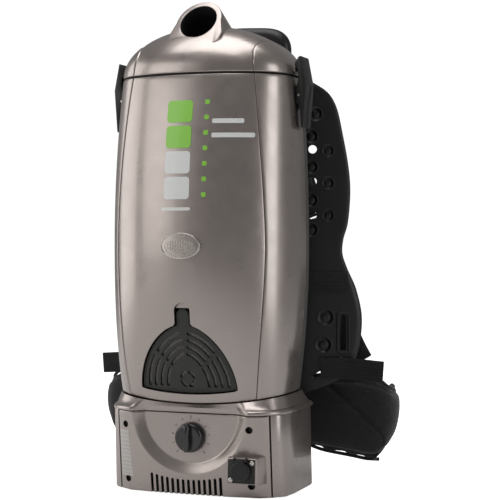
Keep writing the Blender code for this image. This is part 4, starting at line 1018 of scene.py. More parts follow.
GROOVE = [(-0.9, 0), (-0.45, -0.05), (-0.25, -1.0), (0.15, -1.0), (0.35, 0.75), (0.8, 1.1), (1.5, 1.2)]
CHEEK_RAISE = 1.2 * MM


def cheek_columns(line_angle, rear_angle, side_count, front_count):
    """(angle, raise) pairs from the rear right round the front to the rear left, closest at both lines."""
    per_mm = 1 / 100.0
    step = [(line_angle + d * per_mm, h * MM) for d, h in reversed(GROOVE)]
    side = [(a, CHEEK_RAISE) for a in spread(rear_angle, step[0][0], side_count)[:-1]]
    half = side + step
    front = [(a, 0.0) for a in spread(step[-1][0], -math.pi - step[-1][0], front_count)[1:-1]]
    return half + front + [(-math.pi - a, h) for a, h in reversed(half)]


def raised(point, height):
    flat = Vector((point.x, point.y, 0))
    return point + flat.normalized() * height


def canister_front():
    """Front shell with raised cheeks, a groove at their edges and rounded rims."""
    split = math.atan2(CAN_SPLIT_Y, CAN_HALF_WIDTH * 0.97)
    rims = [(0, 0, 1.0), (0, 0.35, 0.3), (0, 0.9, 0)] + [(s, 0, 0) for s in spread(0.012, 0.988, 84)]
    rims += [(1, -0.9, 0), (1, -0.35, 0.3), (1, 0, 1.0)]
    rings = []
    for share, shift, tuck in rims:
        nominal = CAN_BOTTOM_Z + share * (CAN_TOP_Z - CAN_BOTTOM_Z)
        line = angle_at_x(cheek_x(nominal), lambda a: canister_point(a, nominal))
        outer, inner = [], []
        for angle, height in cheek_columns(line, split, 40, 110):
            for ring, inset in ((outer, 0.0), (inner, CAN_WALL)):
                point = canister_point(angle, nominal, inset)
                bottom = seam_z(point)
                point.z = bottom + share * (CAN_TOP_Z - bottom) + shift * MM
                ring.append(raised(point, height - tuck * MM) if inset == 0 else point)
        rings.append(outer + inner[::-1])
    obj = piece("canister_front_shell", loft(rings), "silver", nodes=["canister_front_shell"], angle=32)
    carve(obj, [(arch_prism(0.7 * MM, POCKET_TOP_Z, 9.4 * MM), "silver")], angle=32)


def canister_rear():
    """Dark rear shell with a shallow panel line, and the bosses that carry the back plate."""
    split = math.atan2(CAN_SPLIT_Y, CAN_HALF_WIDTH * 0.97)
    corner = math.atan2(CAN_REAR, CAN_HALF_WIDTH)
    angles = spread(split + 0.006, corner - 0.2, 14) + spread(corner - 0.19, corner + 0.25, 34)
    angles += spread(corner + 0.28, math.pi / 2, 26)
    angles += [math.pi - a for a in reversed(angles[:-1])]
    rims = [(0, 0, 1.0), (0, 0.35, 0.3), (0, 0.9, 0)] + [(s, 0, 0) for s in spread(0.015, 0.985, 50)]
    rims += [(1, -0.9, 0), (1, -0.35, 0.3), (1, 0, 1.0)]
    rings = []
    for share, shift, tuck in rims:
        nominal = CAN_BOTTOM_Z + share * (CAN_TOP_Z - CAN_BOTTOM_Z)
        outer = []
        for a in angles:
            point = canister_point(a, nominal, tuck * MM)
            dent = smooth_step((48 * MM - abs(point.x)) / (3 * MM)) if point.y > 40 * MM else 0
            dent *= smooth_step((share - 0.08) / 0.02) * smooth_step((0.92 - share) / 0.02)
            point.y -= dent * 1.2 * MM
            point.z = nominal + shift * MM
            outer.append(point)
        inner = [Vector((*canister_point(a, nominal, CAN_WALL).xy, nominal + shift * MM)) for a in angles]
        rings.append(outer + inner[::-1])
    obj = piece("canister_rear_shell", loft(rings), "rear_grey", nodes=["canister_rear_shell"])
    bosses = []
    for x, z in ((-55, 215), (55, 215), (-55, 440), (55, 440)):
        start = CAN_REAR - CAN_WALL + 0.5 * MM
        reach = PLATE_Y + PLATE_CURVE * (47 * MM) ** 2 - 0.4 * MM - start
        bosses.append(cylinder(8 * MM, (x * MM, start, z * MM), (0, 1, 0), reach, 40))
    return carve(obj, [(merged(bosses), "rear_grey")], "UNION")


def arch_half_width(z):
    t = min(max((z - ARCH_FOOT_Z) / ARCH_HEIGHT, 0.0), 1.0)
    return ARCH_HALF_WIDTH * (1 - t**1.8) ** (1 / 1.8)


def arch_outline(grow, tab_top, tab_half):
    """Closed outline of the exhaust cover in X and Z: an arch, a finger tab and a sagging foot."""
    side = []
    for t in spread(0, 1, 40):
        z = ARCH_FOOT_Z + ARCH_HEIGHT * 0.985 * math.sin(t * math.pi / 2)
        if arch_half_width(z) + grow > tab_half + 1 * MM:
            side.append((arch_half_width(z) + grow, z + grow * 0.3))
    side.append((tab_half, side[-1][1] + 2.5 * MM))
    centre = tab_top - tab_half
    tab = spread(0, math.radians(80), 10)
    side += [(tab_half * math.cos(a), centre + tab_half * math.sin(a)) for a in tab]
    foot = [(-x, ARCH_FOOT_Z - grow - ARCH_SAG * (1 - (x / ARCH_HALF_WIDTH) ** 2)) for x in
            spread(-ARCH_HALF_WIDTH * 0.94, ARCH_HALF_WIDTH * 0.94, 33)]
    foot.reverse()
    return foot + side + [(-x, z) for x, z in reversed(side)]


def arch_prism(grow, tab_top, tab_half):
    return prism([(x, -110 * MM, z) for x, z in arch_outline(grow, tab_top, tab_half)], (0, 74 * MM, 0))


def opening_lip():
    """Rounded bead along the edge of the cover's opening."""
    outline = arch_outline(1.35 * MM, POCKET_TOP_Z + 0.6 * MM, 10 * MM)
    path = [Vector((x, canister_front_y(x, z) - 0.02 * MM, z)) for x, z in outline]
    bead(path, 0.75 * MM, "opening_lip", "silver", closed=True)


def slot_prism(points, half_slot):
    """Round-ended prism along Y over a run of (x, z) points."""
    path = [Vector((x, 0, z)) for x, z in points]
    left, right = [], []
    for i, p in enumerate(path):
        tangent = (path[min(i + 1, len(path) - 1)] - path[max(i - 1, 0)]).normalized()
        normal = Vector((tangent.z, 0, -tangent.x)) * half_slot
        left.append(p + normal)
        right.append(p - normal)
    start = (path[0] - path[1]).normalized() * half_slot * 0.7
    end = (path[-1] - path[-2]).normalized() * half_slot * 0.7
    outline = left + [(left[-1] * 3 + right[-1]) / 4 + end, (left[-1] + right[-1] * 3) / 4 + end]
    outline += right[::-1] + [(left[0] + right[0] * 3) / 4 + start, (left[0] * 3 + right[0]) / 4 + start]
    return prism([Vector((p.x, -110 * MM, p.z)) for p in outline], (0, 80 * MM, 0))


def arc_slots():
    """Centre lines of the cover's slots: four nested arches in two tiers and a ring."""
    runs = []
    for k in range(4):
        offset = (9.5 + 7.6 * k) * MM
        half, height = ARCH_HALF_WIDTH - offset, ARCH_HEIGHT - offset * 1.02
        foot = ARCH_FOOT_Z + 4 * MM
        for start, end in ((0.0, 0.40), (0.48, 0.92)):
            for side in (-1, 1):
                run = []
                for t in spread(start, end, 12):
                    angle = t * math.pi / 2
                    x = half * math.cos(angle) ** (2 / 1.8)
                    z = foot + (height - 4 * MM) * math.sin(angle) ** (2 / 1.8)
                    run.append((side * x, z))
                runs.append(run)
    ring_z = ARCH_FOOT_Z + 11.5 * MM
    for quarter in range(4):
        angles = spread(quarter * math.pi / 2 + 0.26, (quarter + 1) * math.pi / 2 - 0.26, 9)
        runs.append([(8 * MM * math.cos(a), ring_z + 8 * MM * math.sin(a)) for a in angles])
    return runs


def exhaust_cover():
    """Slotted cover with its rim, the back of the finger pocket, and the foam pad behind it."""
    slab = wall_patch(60 * MM, 112 * MM, 213 * MM, 1.6 * MM, 5 * MM, 41, 34)
    cover = piece("exhaust_grille", slab, "grille", "exhaust_cover", ["exhaust_grille"])
    carve(cover, [(arch_prism(-0.8 * MM, TAB_TOP_Z, TAB_HALF_WIDTH), "grille")], "INTERSECT")
    slots = merged([slot_prism(run, 1.9 * MM) for run in arc_slots()])
    carve(cover, [(slots, "grille")])
    outline = arch_outline(-1.7 * MM, TAB_TOP_Z - 1.4 * MM, TAB_HALF_WIDTH - 1.3 * MM)
    path = [Vector((x, canister_front_y(x, z) + 1.6 * MM, z)) for x, z in outline]
    bead(path, 0.7 * MM, "grille_rim", "grille", "exhaust_cover", closed=True)
    piece("pocket_back", wall_patch(10.5 * MM, 209.9 * MM, 217.5 * MM, 3.2 * MM, 4.2 * MM, 9, 5), "silver")
    pad = piece("exhaust_filter", wall_patch(56 * MM, 112 * MM, 195 * MM, 5.6 * MM, 13 * MM, 41, 31), "foam",
                nodes=["exhaust_filter"])
    outline = [(x, -110 * MM, z) for x, z in arch_outline(-3 * MM, 188 * MM, 6 * MM)]
    carve(pad, [(prism(outline, (0, 90 * MM, 0)), "foam")], "INTERSECT")


def badge():
    """Oval plate with a rolled rim and plain upright ribs."""
    def oval(share, lift, count=96):
        places = [(24 * MM * share * math.cos(a), CAN_BELLY_Z + 14.5 * MM * share * math.sin(a))
                  for a in turns(count)]
        return [Vector((x, canister_front_y(x, z) - lift * MM, z)) for x, z in places]

    rows = [(1, 0.05), (1, 0.9), (0.97, 1.2)] + [(share, 1.2) for share in spread(0.94, 0.06, 12)]
    plate = loft([oval(share, lift) for share, lift in rows])
    piece("badge_plate", plate, "badge", nodes=["badge_plate"], angle=50)
    bead(oval(0.95, 1.3), 0.85 * MM, "badge_rim", "badge", closed=True)
    bead(oval(0.76, 1.2), 0.35 * MM, "badge_line", "badge", closed=True)
    ribs = []
    for k in range(-5, 6):
        x, reach = k * 2.9 * MM, 6.4 * MM * math.sqrt(1 - (k / 6.5) ** 2)
        path = [Vector((x, canister_front_y(x, z) - 1.25 * MM, z)) for z in
                spread(CAN_BELLY_Z - reach, CAN_BELLY_Z + reach, 9)]
        ribs.append(sweep(path, (1, 0, 0), round_section(0.75 * MM, 0.5 * MM, 10)))
    piece("badge_ribs", merged(ribs), "badge", angle=50)


def close_spaced(points, step):
    """The closed outline again, with points added along its straight stretches."""
    dense = []
    for a, b in zip(points, points[1:] + points[:1]):
        count = max(1, math.ceil(math.dist(a, b) / step))
        dense += [(a[0] + (b[0] - a[0]) * k / count, a[1] + (b[1] - a[1]) * k / count) for k in range(count)]
    return dense


def wall_decal(name, look, centre, half_x, half_z, corner):
    """Thin printed block with rounded corners, laid on the canister's front wall."""
    points = []
    for sx, sz, start in ((1, 1, 0), (-1, 1, 90), (-1, -1, 180), (1, -1, 270)):
        for a in spread(math.radians(start), math.radians(start + 90), 6):
            points.append((centre[0] + sx * (half_x - corner) + corner * math.cos(a),
                           centre[1] + sz * (half_z - corner) + corner * math.sin(a)))
    points = close_spaced(points, 1.5)
    bm = bmesh.new()
    rows = []
    middle = Vector((centre[0], 0, centre[1]))
    for k in range(1, 6):
        rows.append([middle.lerp(Vector((x, 0, z)), k / 5) for x, z in points])
    layers = []

    def on_wall(x, z, lift):
        return bm.verts.new((x * MM, canister_front_y(x * MM, z * MM) - lift * MM, z * MM))

    for lift in (0.14, 0.04):
        core = on_wall(*centre, lift)
        loops = [[on_wall(p.x, p.z, lift) for p in row] for row in rows]
        for i in range(len(points)):
            j = (i + 1) % len(points)
            bm.faces.new((core, loops[0][i], loops[0][j]))
            for low, high in zip(loops, loops[1:]):
                bm.faces.new((low[i], low[j], high[j], high[i]))
        layers.append(loops[-1])
    for i in range(len(points)):
        j = (i + 1) % len(points)
        bm.faces.new((layers[0][i], layers[0][j], layers[1][j], layers[1][i]))
    piece(name, bm, look)


def graphics():
    """Generic printed blocks in place of any name, with small ones and two pale bars beside them."""
    for k, look in enumerate(("green", "green", "white", "white")):
        wall_decal(f"print_block_{k + 1}", look, (-5.5, 426 - 28.2 * k), 15, 12.3, 4)
    for k in range(7):
        wall_decal(f"print_dot_{k + 1}", "green", (26, 436 - 17 * k), 2.6, 2.6, 1.2)
    wall_decal("print_line", "white", (-6, 318.5), 17, 1.8, 1.5)
    for k, (right, z) in enumerate(((66, 414.7), (77, 399))):
        wall_decal(f"print_bar_{k + 1}", "white", ((32.5 + right) / 2, z), (right - 32.5) / 2, 2.6, 1.6)


# ---------------------------------------------------------------- lid


def port_axes():
    """Outward direction of the hose port, and the sideways and upward directions in its face."""
    out = Vector((
        math.sin(PORT_AZIMUTH) * math.cos(PORT_ELEVATION),
        -math.cos(PORT_AZIMUTH) * math.cos(PORT_ELEVATION),
        math.sin(PORT_ELEVATION),
    ))
    side = Vector((0, 0, 1)).cross(out).normalized()
    return out, side, out.cross(side)


LID_CHEEK_TOP = 508.5 * MM
LID_CHEEK_CORNER = 16 * MM


def lid_line_x(z):
    """Cheek edge on the lid: upright at first, then arcing back over the shoulder."""
    start = cheek_x(z)
    rise = LID_CHEEK_CORNER - max(LID_CHEEK_TOP - z, 0.0)
    if rise <= 0:
        return start
    return start + LID_CHEEK_CORNER - math.sqrt(max(LID_CHEEK_CORNER**2 - rise**2, 0.0))


def lid_dome():
    """Dome with raised cheeks, a hood round the hose port, and a catch for each latch."""
    tilts = [0.0, 0.4, 1.0] + spread(2, 30, 26) + spread(31, 38, 22) + spread(40, 89, 34)
    rings = []
    for i, degrees in enumerate(tilts):
        tilt = math.radians(degrees)
        scale, z = math.cos(tilt), LID_BOTTOM_Z + LID_HEIGHT * math.sin(tilt)
        tuck = (0.8, 0.25)[i] * MM if i < 2 else 0

        def place(angle):
            point = canister_point(angle, CAN_TOP_Z)
            return Vector((point.x * scale, point.y * scale, z))

        line = angle_at_x(lid_line_x(z), place)
        fade = smooth_step((LID_CHEEK_TOP + 0.6 * MM - z) / (1.2 * MM))
        ring = []
        for angle, height in cheek_columns(line, math.pi / 2, 90, 110)[:-1]:
            ring.append(raised(place(angle), height * fade - tuck))
        rings.append(ring)
    shell = piece("lid_dome", loft(rings), "silver", "lid", ["lid_dome"], angle=32)
    middle = LATCH_PIVOT.y
    catches = [box(((x - 2.5) * MM, middle - 10 * MM, 473.5 * MM),
                   ((x + 2.5) * MM, middle + 10 * MM, 479 * MM), 0.8 * MM, 2) for x in (-101.5, 101.5)]
    carve(shell, [(port_hood(), "silver"), (merged(catches), "silver")], "UNION", 32)
    hollow = []
    for tilt in [-0.3] + spread(0, math.radians(84), 14):
        scale = math.cos(max(tilt, 0))
        rise = (LID_HEIGHT - 3 * MM) * math.sin(tilt) if tilt >= 0 else -10 * MM
        ring = [canister_point(a, CAN_TOP_Z, 3 * MM) for a in turns(60, 0.5)]
        hollow.append([Vector((p.x * scale, p.y * scale, LID_BOTTOM_Z + rise)) for p in ring])
    out, _, _ = port_axes()
    bore = [(0, -12), (22.5, -12), (22.5, 1.2), (24.8, 1.3), (24.8, 78), (0, 78)]
    bore = turned(in_metres(bore), PORT_CENTRE, -out, 72)
    # the lid's hollowed inside is painted near black as painted shade
    carve(shell, [(loft(hollow), "painted_shade"), (bore, "silver")], angle=32)


def port_hood():
    """Hood block behind the port's face, with a rounded rim."""
    out, side, up = port_axes()

    def outline(shrink):
        radius = PORT_RIM_R - shrink
        round_part = [(radius * math.cos(a), radius * math.sin(a)) for a in spread(0, math.pi, 53)]
        knots = [(28.3, 0, 0), (31, -9, 0), (33, -19, 0), (28.5, -30, 0), (16, -37, 0), (0, -39, 0)]
        skirt = catmull(knots, 30)[1:]
        skirt = [(p.x * MM - shrink * p.x / 30, p.y * MM) for p in skirt]
        skirt = [(-u, v) for u, v in skirt] + [(u, v) for u, v in reversed(skirt[:-1])]
        return [PORT_CENTRE + u * side + v * up for u, v in round_part + skirt]

    rings = []
    for shrink, depth in ((1.3, 0), (0.6, 0.15), (0.15, 0.6), (0, 1.3), (0, 20), (0, 45), (0, 62)):
        rings.append([p - out * depth * MM for p in outline(shrink * MM)])
    return loft(rings)


def inlet_elbow():
    """Bent inlet tube from the port down to the bag's collar, flared at its mouth."""
    out, _, _ = port_axes()
    points = [PORT_CENTRE - out * d * MM for d in (1.5, 14)]
    points.append(PORT_CENTRE - out * 28 * MM + Vector((0, 0, -1.5)) * MM)
    points += [Vector(p) * MM for p in ((0, 1, 488), (0, 2, 466), (0, 2, 446))]
    path = catmull(points, 44)
    outer, inner = [], []
    for i, (point, (_, side, normal)) in enumerate(zip(path, path_frames(path, (1, 0, 0)))):
        mouth = (0.5 if i == 0 else 0.0) * MM
        for rows, r in ((outer, PORT_TUBE_R - mouth), (inner, PORT_BORE_R + mouth)):
            rows.append([point + r * (math.cos(a) * side + math.sin(a) * normal) for a in turns(64)])
    piece("inlet_elbow", loft(outer + inner[::-1], closed=True), "rubber", "lid", ["inlet_elbow"])


def lid_seal():
    """Black gasket with a rounded outer bead between the lid and the canister."""
    angles = turns(240, 0.5)
    z0, z1 = CAN_TOP_Z + 0.35 * MM, LID_BOTTOM_Z - 0.35 * MM
    rings = []
    for z, inset in ((z0, 1.0), ((z0 + z1) / 2, 0.6), (z1, 1.0), (z1, 3.6), (z0, 3.6)):
        rings.append([Vector((*canister_point(a, CAN_TOP_Z, inset * MM).xy, z)) for a in angles])
    piece("lid_seal", loft(rings, closed=True), "rubber", "lid", ["lid_seal"])


# ---------------------------------------------------------------- latches


def latch(side, word):
    """Rocker latch: bevelled wedge, thumb scoop that widens downwards, pocket for its bracket."""
    points = [(109.4, 489.5), (112, 490.3), (118, 459), (114.6, 410.5), (112.2, 410), (111, 430)]
    points += [(106.8, 438.5), (106.8, 455), (109.2, 466), (108.3, 474), (104.7, 479.6), (105.2, 483.4)]
    half, middle = LATCH_HALF_WIDTH, LATCH_PIVOT.y
    wedge = prism([(x * MM, middle - half, z * MM) for x, z in points], (0, 2 * half, 0))
    rocker = piece(f"latch_{word}", mirrored(rounded(wedge, 0.7 * MM, 3), side), "latch", f"{word}_latch",
                   [f"latch_{word}"])
    pocket = box((100 * MM, middle - 8.6 * MM, 433 * MM), (113.2 * MM, middle + 8.6 * MM, 460 * MM))
    bore = cylinder(1.9 * MM, (LATCH_PIVOT.x, -30 * MM, LATCH_PIVOT.z), (0, 1, 0), 60 * MM, 32)
    rings = []
    scoop = ((118.4, 458, 1.2), (119.2, 450, 4.6), (118.8, 438, 7.2), (118.6, 424, 9.6), (118.0, 405, 11.6))
    for x, z, r in scoop:
        rings.append([Vector(((x + 0.55 * r * math.cos(a)) * MM, middle + r * math.sin(a) * MM, z * MM))
                      for a in turns(40)])
    cuts = merged([mirrored(pocket, side), mirrored(bore, side), mirrored(loft(rings), side)])
    carve(rocker, [(cuts, "latch")], angle=30)
    profile = [(0, 0), (1.3, 0), (1.6, 0.3), (1.6, 28.1), (1.3, 28.4), (0, 28.4)]
    start = (LATCH_PIVOT.x, middle - half + 0.2 * MM, LATCH_PIVOT.z)
    pin = turned(in_metres(profile), start, (0, 1, 0), 24)
    piece(f"latch_pin_{word}", mirrored(pin, side), "steel", "casing", [f"latch_pin_{word}"])


def latch_bracket(side, word):
    """Plate on the canister's side with a drilled lug that carries the latch's pin."""
    rings = []
    low, high = LATCH_PIVOT.y - 8 * MM, LATCH_PIVOT.y + 8 * MM
    for z in spread(434.5 * MM, 457.5 * MM, 9):
        ring = []
        for y in spread(low, high, 9):
            angle = math.atan2(y, canister_size(z)[0])
            ring.append(Vector((canister_point(angle, z).x + 0.25 * MM, y, z)))
        ring += [Vector((105.3 * MM, high, z)), Vector((105.3 * MM, low, z))]
        rings.append(ring)
    name = f"latch_bracket_{word}"
    obj = piece(name, mirrored(loft(rings), side), "black", nodes=[name])
    lug = box((104.3 * MM, low + 1 * MM, 442 * MM), (111.9 * MM, high - 1 * MM, 451 * MM), 1.2 * MM, 3)
    carve(obj, [(mirrored(lug, side), "black")], "UNION")
    hole = cylinder(1.9 * MM, (LATCH_PIVOT.x, -30 * MM, LATCH_PIVOT.z), (0, 1, 0), 60 * MM, 32)
    carve(obj, [(mirrored(hole, side), "black")])


# ---------------------------------------------------------------- back plate and handle


def plate_y(x):
    return PLATE_Y + PLATE_CURVE * x * x


PLATE_EDGE = smooth_edge(PLATE_OUTLINE)


def plate_half_width(z):
    return edge_width(PLATE_EDGE, z)


def plate_point(x, z, behind=0.0):
    """Point a distance behind the plate's front face, along the face's own normal."""
    normal = Vector((-2 * PLATE_CURVE * x, 1, 0)).normalized()
    return Vector((x, plate_y(x), z)) + normal * behind


# X, Z and radius of the right-hand dimples and holes, in millimetres
DIMPLES = [(96, 406, 8), (96, 370, 8), (96, 331, 8), (96, 296, 8), (115, 389, 7), (115, 351, 7),
           (115, 313, 7), (101, 432, 8), (112.5, 193, 9.5), (110, 160.5, 9.5)]
PLATE_HOLES = [(98, 391, 5), (98, 353, 5), (98, 313.5, 5), (60, 391, 5), (60, 354, 5)]


def back_plate():
    """Moulded plate: rolled edges, cupped dimples, through holes, a framed slot and a slanting slit."""
    rings = []
    shares = [math.sin(math.pi / 2 * t) for t in spread(-1, 1, 75)]
    heights = [104, 104.4, 105.2, 106.5] + spread(109, 475, 130) + [477.5, 478.8, 479.6, 480]
    for i, z in enumerate(heights):
        end = min(i, len(heights) - 1 - i)
        thin = (1.2, 0.45, 0.1)[end] * MM if end < 3 else 0
        half = plate_half_width(z * MM)
        front, back = [], []
        for s in shares:
            x = s * half
            below_waist = smooth_step((250 - z) / 20)
            roll = (0.8 + 1.4 * below_waist) * MM * smooth_step((abs(x) - half + 8 * MM) / (8 * MM)) ** 1.5
            pinch = 1.5 * MM * smooth_step((abs(x) - half + 2 * MM) / (2 * MM))
            front.append(plate_point(x, z * MM, roll + thin + pinch * 0.9))
            back.append(plate_point(x, z * MM, PLATE_THICKNESS + roll * 0.8 - thin - pinch * 0.6))
        rings.append(front + back[::-1])
    plate = piece("back_plate", loft(rings), "plate", nodes=["back_plate"], angle=45)
    cuts, cups = [], []
    for side in (-1, 1):
        for x, z, r in PLATE_HOLES:
            start, axis = plate_place(side * x, z, -9)
            cuts.append(cylinder(r * MM, start, axis, 22 * MM, 32))
        for x, z, r in DIMPLES:
            start, axis = plate_place(side * x, z, -9)
            cuts.append(cylinder(r * MM, start, axis, 22 * MM, 40))
            cups.append(dimple(side * x, z, r))
        x = side * 132 * MM
        cuts.append(box((x - 3.4 * MM, 50 * MM, 154 * MM), (x + 3.4 * MM, 130 * MM, 196 * MM), 1.5 * MM, 2))
        ends = (Vector((side * 98, 40, 122)) * MM, Vector((side * 132, 40, 145)) * MM)
        across = (ends[1] - ends[0]).cross(Vector((0, 1, 0))).normalized() * 1.9 * MM

        def slit_outline(out):
            return [ends[0] - out, ends[1] - out, ends[1] + out, ends[0] + out]

        cuts.append(prism(slit_outline(across), (0, 90 * MM, 0)))
        slot_frame(side)
        rim = [Vector((p.x, plate_y(p.x) - 0.1 * MM, p.z)) for p in slit_outline(across * 1.5)]
        bead(rim, 0.9 * MM, f"slit_rim_{'left' if side < 0 else 'right'}", "plate", closed=True)
    carve(plate, [(merged(cuts), "plate")], angle=45)
    piece("plate_dimples", merged(cups), "plate", angle=50)


def plate_place(x, z, behind):
    """A start point near the plate in millimetres, and the plate's normal there, pointing to the wearer."""
    normal = Vector((-2 * PLATE_CURVE * x * MM, 1, 0)).normalized()
    return Vector((x * MM, plate_y(x * MM), z * MM)) + normal * behind * MM, normal


def dimple(x, z, radius):
    """Cup with a raised lip and a button in its middle."""
    k = radius / 8
    profile = [(0, 1.2), (2.6 * k, 1.3), (3.6 * k, 1.6), (4.3 * k, 2.2), (5.2 * k, 2.4), (6.2 * k, 2.0)]
    profile += [(7.3 * k, 0.1), (8.0 * k, -0.35), (8.6 * k, -0.3), (9.0 * k, -0.02), (7.9 * k, 0.02)]
    profile += [(7.9 * k, 3.7), (0, 3.7)]
    start, axis = plate_place(x, z, 0)
    return turned(in_metres(profile), start, axis, 40)


def slot_frame(side):
    """Raised rim round the plate's upright webbing slot."""
    corners = []
    for sx, sz, start in ((1, 1, 0), (-1, 1, 90), (-1, -1, 180), (1, -1, 270)):
        for a in spread(math.radians(start), math.radians(start + 90), 5):
            x = side * 132 + sx * 3.2 + 3 * math.cos(a)
            z = 175 + sz * 20.5 + 3 * math.sin(a)
            corners.append(plate_point(x * MM, z * MM, -0.3 * MM))
    word = "left" if side < 0 else "right"
    bead(corners, 1.3 * MM, f"slot_frame_{word}", "plate", closed=True)


def carry_handle():
    """Arched grip of nearly round section, slightly narrower at its two ends."""
    y = HANDLE_Y / MM
    points = [(-60, y + 1, 484.5), (-61, y, 500), (-59.5, y, 515.5), (-49, y, 523.3), (-24, y, 525.5)]
    points.append((0, y, 526))
    points += [(-x, yy, z) for x, yy, z in reversed(points[:-1])]
    path = catmull([Vector(p) * MM for p in points], 90)

    def section(i):
        end = min(i, len(path) - 1 - i)
        close = (0.86, 0.95, 0.99)[end] if end < 3 else 1.0
        return [(u * close, v * close) for u, v in round_section(11.3 * MM, 11.2 * MM, 36)]

    piece("carry_handle", sweep(path, (0, 1, 0), section), "plate", nodes=["carry_handle"], angle=50)


# ---------------------------------------------------------------- soft pieces


CLOTH_FRAMES = 20
PAD_VOXEL = 4.5 * MM
PAD_STANDOFF = 7 * MM  # from the plate's front face to the pad
PAD_PUFF = 5 * MM  # furthest the cloth simulation may move a strap's or plate pad's surface


def inflate(obj, cap, pins):
    """Blows a pad up with a cloth simulation; pinned places stay and no point moves more than cap."""
    mesh = obj.data
    start = np.empty(len(mesh.vertices) * 3)
    mesh.vertices.foreach_get("co", start)
    start = start.reshape(-1, 3)
    group = obj.vertex_groups.new(name="pin")
    for i, co in enumerate(start):
        weight = pins(co)
        if weight > 0:
            group.add([i], weight, "REPLACE")
    modifier = obj.modifiers.new("cloth", "CLOTH")
    settings = modifier.settings
    settings.quality = 5
    settings.use_pressure = True
    settings.uniform_pressure_force = 4
    settings.vertex_group_mass = "pin"
    settings.effector_weights.gravity = 0
    modifier.point_cache.frame_end = CLOTH_FRAMES
    for number in range(1, CLOTH_FRAMES + 1):
        bpy.context.scene.frame_set(number)
    graph = bpy.context.evaluated_depsgraph_get()
    blown = np.empty(len(mesh.vertices) * 3)
    obj.evaluated_get(graph).data.vertices.foreach_get("co", blown)
    blown = blown.reshape(-1, 3)
    obj.modifiers.remove(modifier)
    bpy.context.scene.frame_set(1)
    move = blown - start
    length = np.linalg.norm(move, axis=1, keepdims=True)
    move *= np.minimum(1.0, cap / np.maximum(length, 1e-9))
    mesh.vertices.foreach_set("co", (start + move).ravel())
    mesh.update()


def stuffed(name, bm, cap, edge, groove):
    """Padded piece: remeshed, blown up between its pinned edge seams, then subdivided and quilted."""
    obj = piece(name, bm, "pad", nodes=[name], angle=180)
    remesh = obj.modifiers.new("remesh", "REMESH")
    remesh.mode = "VOXEL"
    remesh.voxel_size = PAD_VOXEL
    bake(obj, 180)
    seam = np.array([tuple(p) for p in edge])

    def pins(co):
        gap = math.sqrt(((seam - co) ** 2).sum(axis=1).min())
        return 1.0 if gap < 5.5 * MM else 0.0

    inflate(obj, cap, pins)
    smooth = obj.modifiers.new("smooth", "SMOOTH")
    smooth.factor = 0.5
    smooth.iterations = 3
    subdivide = obj.modifiers.new("subdivide", "SUBSURF")
    subdivide.levels = subdivide.render_levels = 1
    bake(obj, 180)
    quilt(obj, groove)
    return obj


def quilt(obj, groove):
    """Presses sewn lines and small creases into a padded piece."""
    mesh = obj.data
    normals = [v.normal.copy() for v in mesh.vertices]
    for vertex, normal in zip(mesh.vertices, normals):
        co = vertex.co
        press = groove(co)
        wave = noise.noise(co * 42) * 0.7 + noise.noise(co * 95 + Vector((3, 1, 7))) * 0.35
        vertex.co = co - normal * (press * 1.9 * MM - wave * 0.9 * MM * (1 - press))
    mesh.update()


def line_press(distance, width=2.6 * MM):
    return math.exp(-((distance / width) ** 2))


def pad_section(low, high, thick, power=5.0, count=15):
    """Closed (height, thickness) outline of a crowned pad between two edges."""
    ts = [0.5 - 0.5 * math.cos(math.pi * k / (count - 1)) for k in range(count)]
    crown = [thick / 2 * max(0.12, (1 - abs(2 * t - 1) ** power)) ** 0.5 for t in ts]
    heights = [low + (high - low) * t for t in ts]
    return list(zip(heights, crown)) + [(h, -c) for h, c in reversed(list(zip(heights, crown)))]


def plate_pad(name, low, high, thick, shrink):
    """Foam pad behind the plate, crowned towards the wearer, with quilted panels."""
    rings, edge, front = [], [], PAD_STANDOFF
    rows = spread(low, high, 40)
    middle = front + thick * 0.42
    for i, z in enumerate(rows):
        t = i / (len(rows) - 1)
        close = max(0.06, 1 - abs(2 * t - 1) ** 14) ** 0.5
        corner = 14 * MM * (abs(2 * t - 1) ** 9)
        half = plate_half_width(z) - shrink - corner
        ring_front, ring_back = [], []
        for s in [math.sin(math.pi / 2 * u) for u in spread(-1, 1, 31)]:
            x = s * half
            crown = close * max(0.08, 1 - abs(s) ** 10) ** 0.5
            ring_front.append(plate_point(x, z, middle - thick * 0.40 * crown))
            ring_back.append(plate_point(x, z, middle + thick * 0.50 * crown))
        rings.append(ring_front + ring_back[::-1])
        edge += [plate_point(half, z, middle), plate_point(-half, z, middle)]
    for s in spread(-1, 1, 40):
        for z in (low, high):
            half = plate_half_width(z) - shrink - 14 * MM
            edge.append(plate_point(s * half, z, middle))

    def groove(co):
        half = plate_half_width(co.z) - shrink
        press = line_press(abs(abs(co.x) - half + 16 * MM))
        press = max(press, line_press(abs(co.x)))
        press = max(press, line_press(co.z - low - 15 * MM), line_press(co.z - high + 15 * MM))
        for k in range(1, 4):
            press = max(press, line_press(co.z - low - (high - low) * k / 4))
        return press if co.y > plate_y(co.x) + front + thick * 0.5 else 0.0

    stuffed(name, loft(rings), PAD_PUFF, edge, groove)
    right = []
    for z in spread(low, high, 48):
        corner = 14 * MM * (abs(2 * (z - low) / (high - low) - 1) ** 9)
        right.append(plate_point(plate_half_width(z) - shrink - corner, z, middle))
    hem = perimeter(right)
    bead(hem, 1.9 * MM, f"{name}_binding", "binding", closed=True)


def perimeter(right):
    """Closed loop from the right-hand edge of a symmetrical pad, going over the top and down its mirror."""
    left = [Vector((-p.x, p.y, p.z)) for p in reversed(right)]
    steps = spread(0, 1, 34)[1:-1]
    top = [plate_lerp(right[-1], left[0], t) for t in steps]
    bottom = [plate_lerp(left[-1], right[0], t) for t in steps]
    return right + top + left + bottom


def plate_lerp(a, b, t):
    """Point between two points, kept on the plate's curve."""
    point = a.lerp(b, t)
    point.y = a.y + PLATE_CURVE * (point.x**2 - a.x**2)
    return point


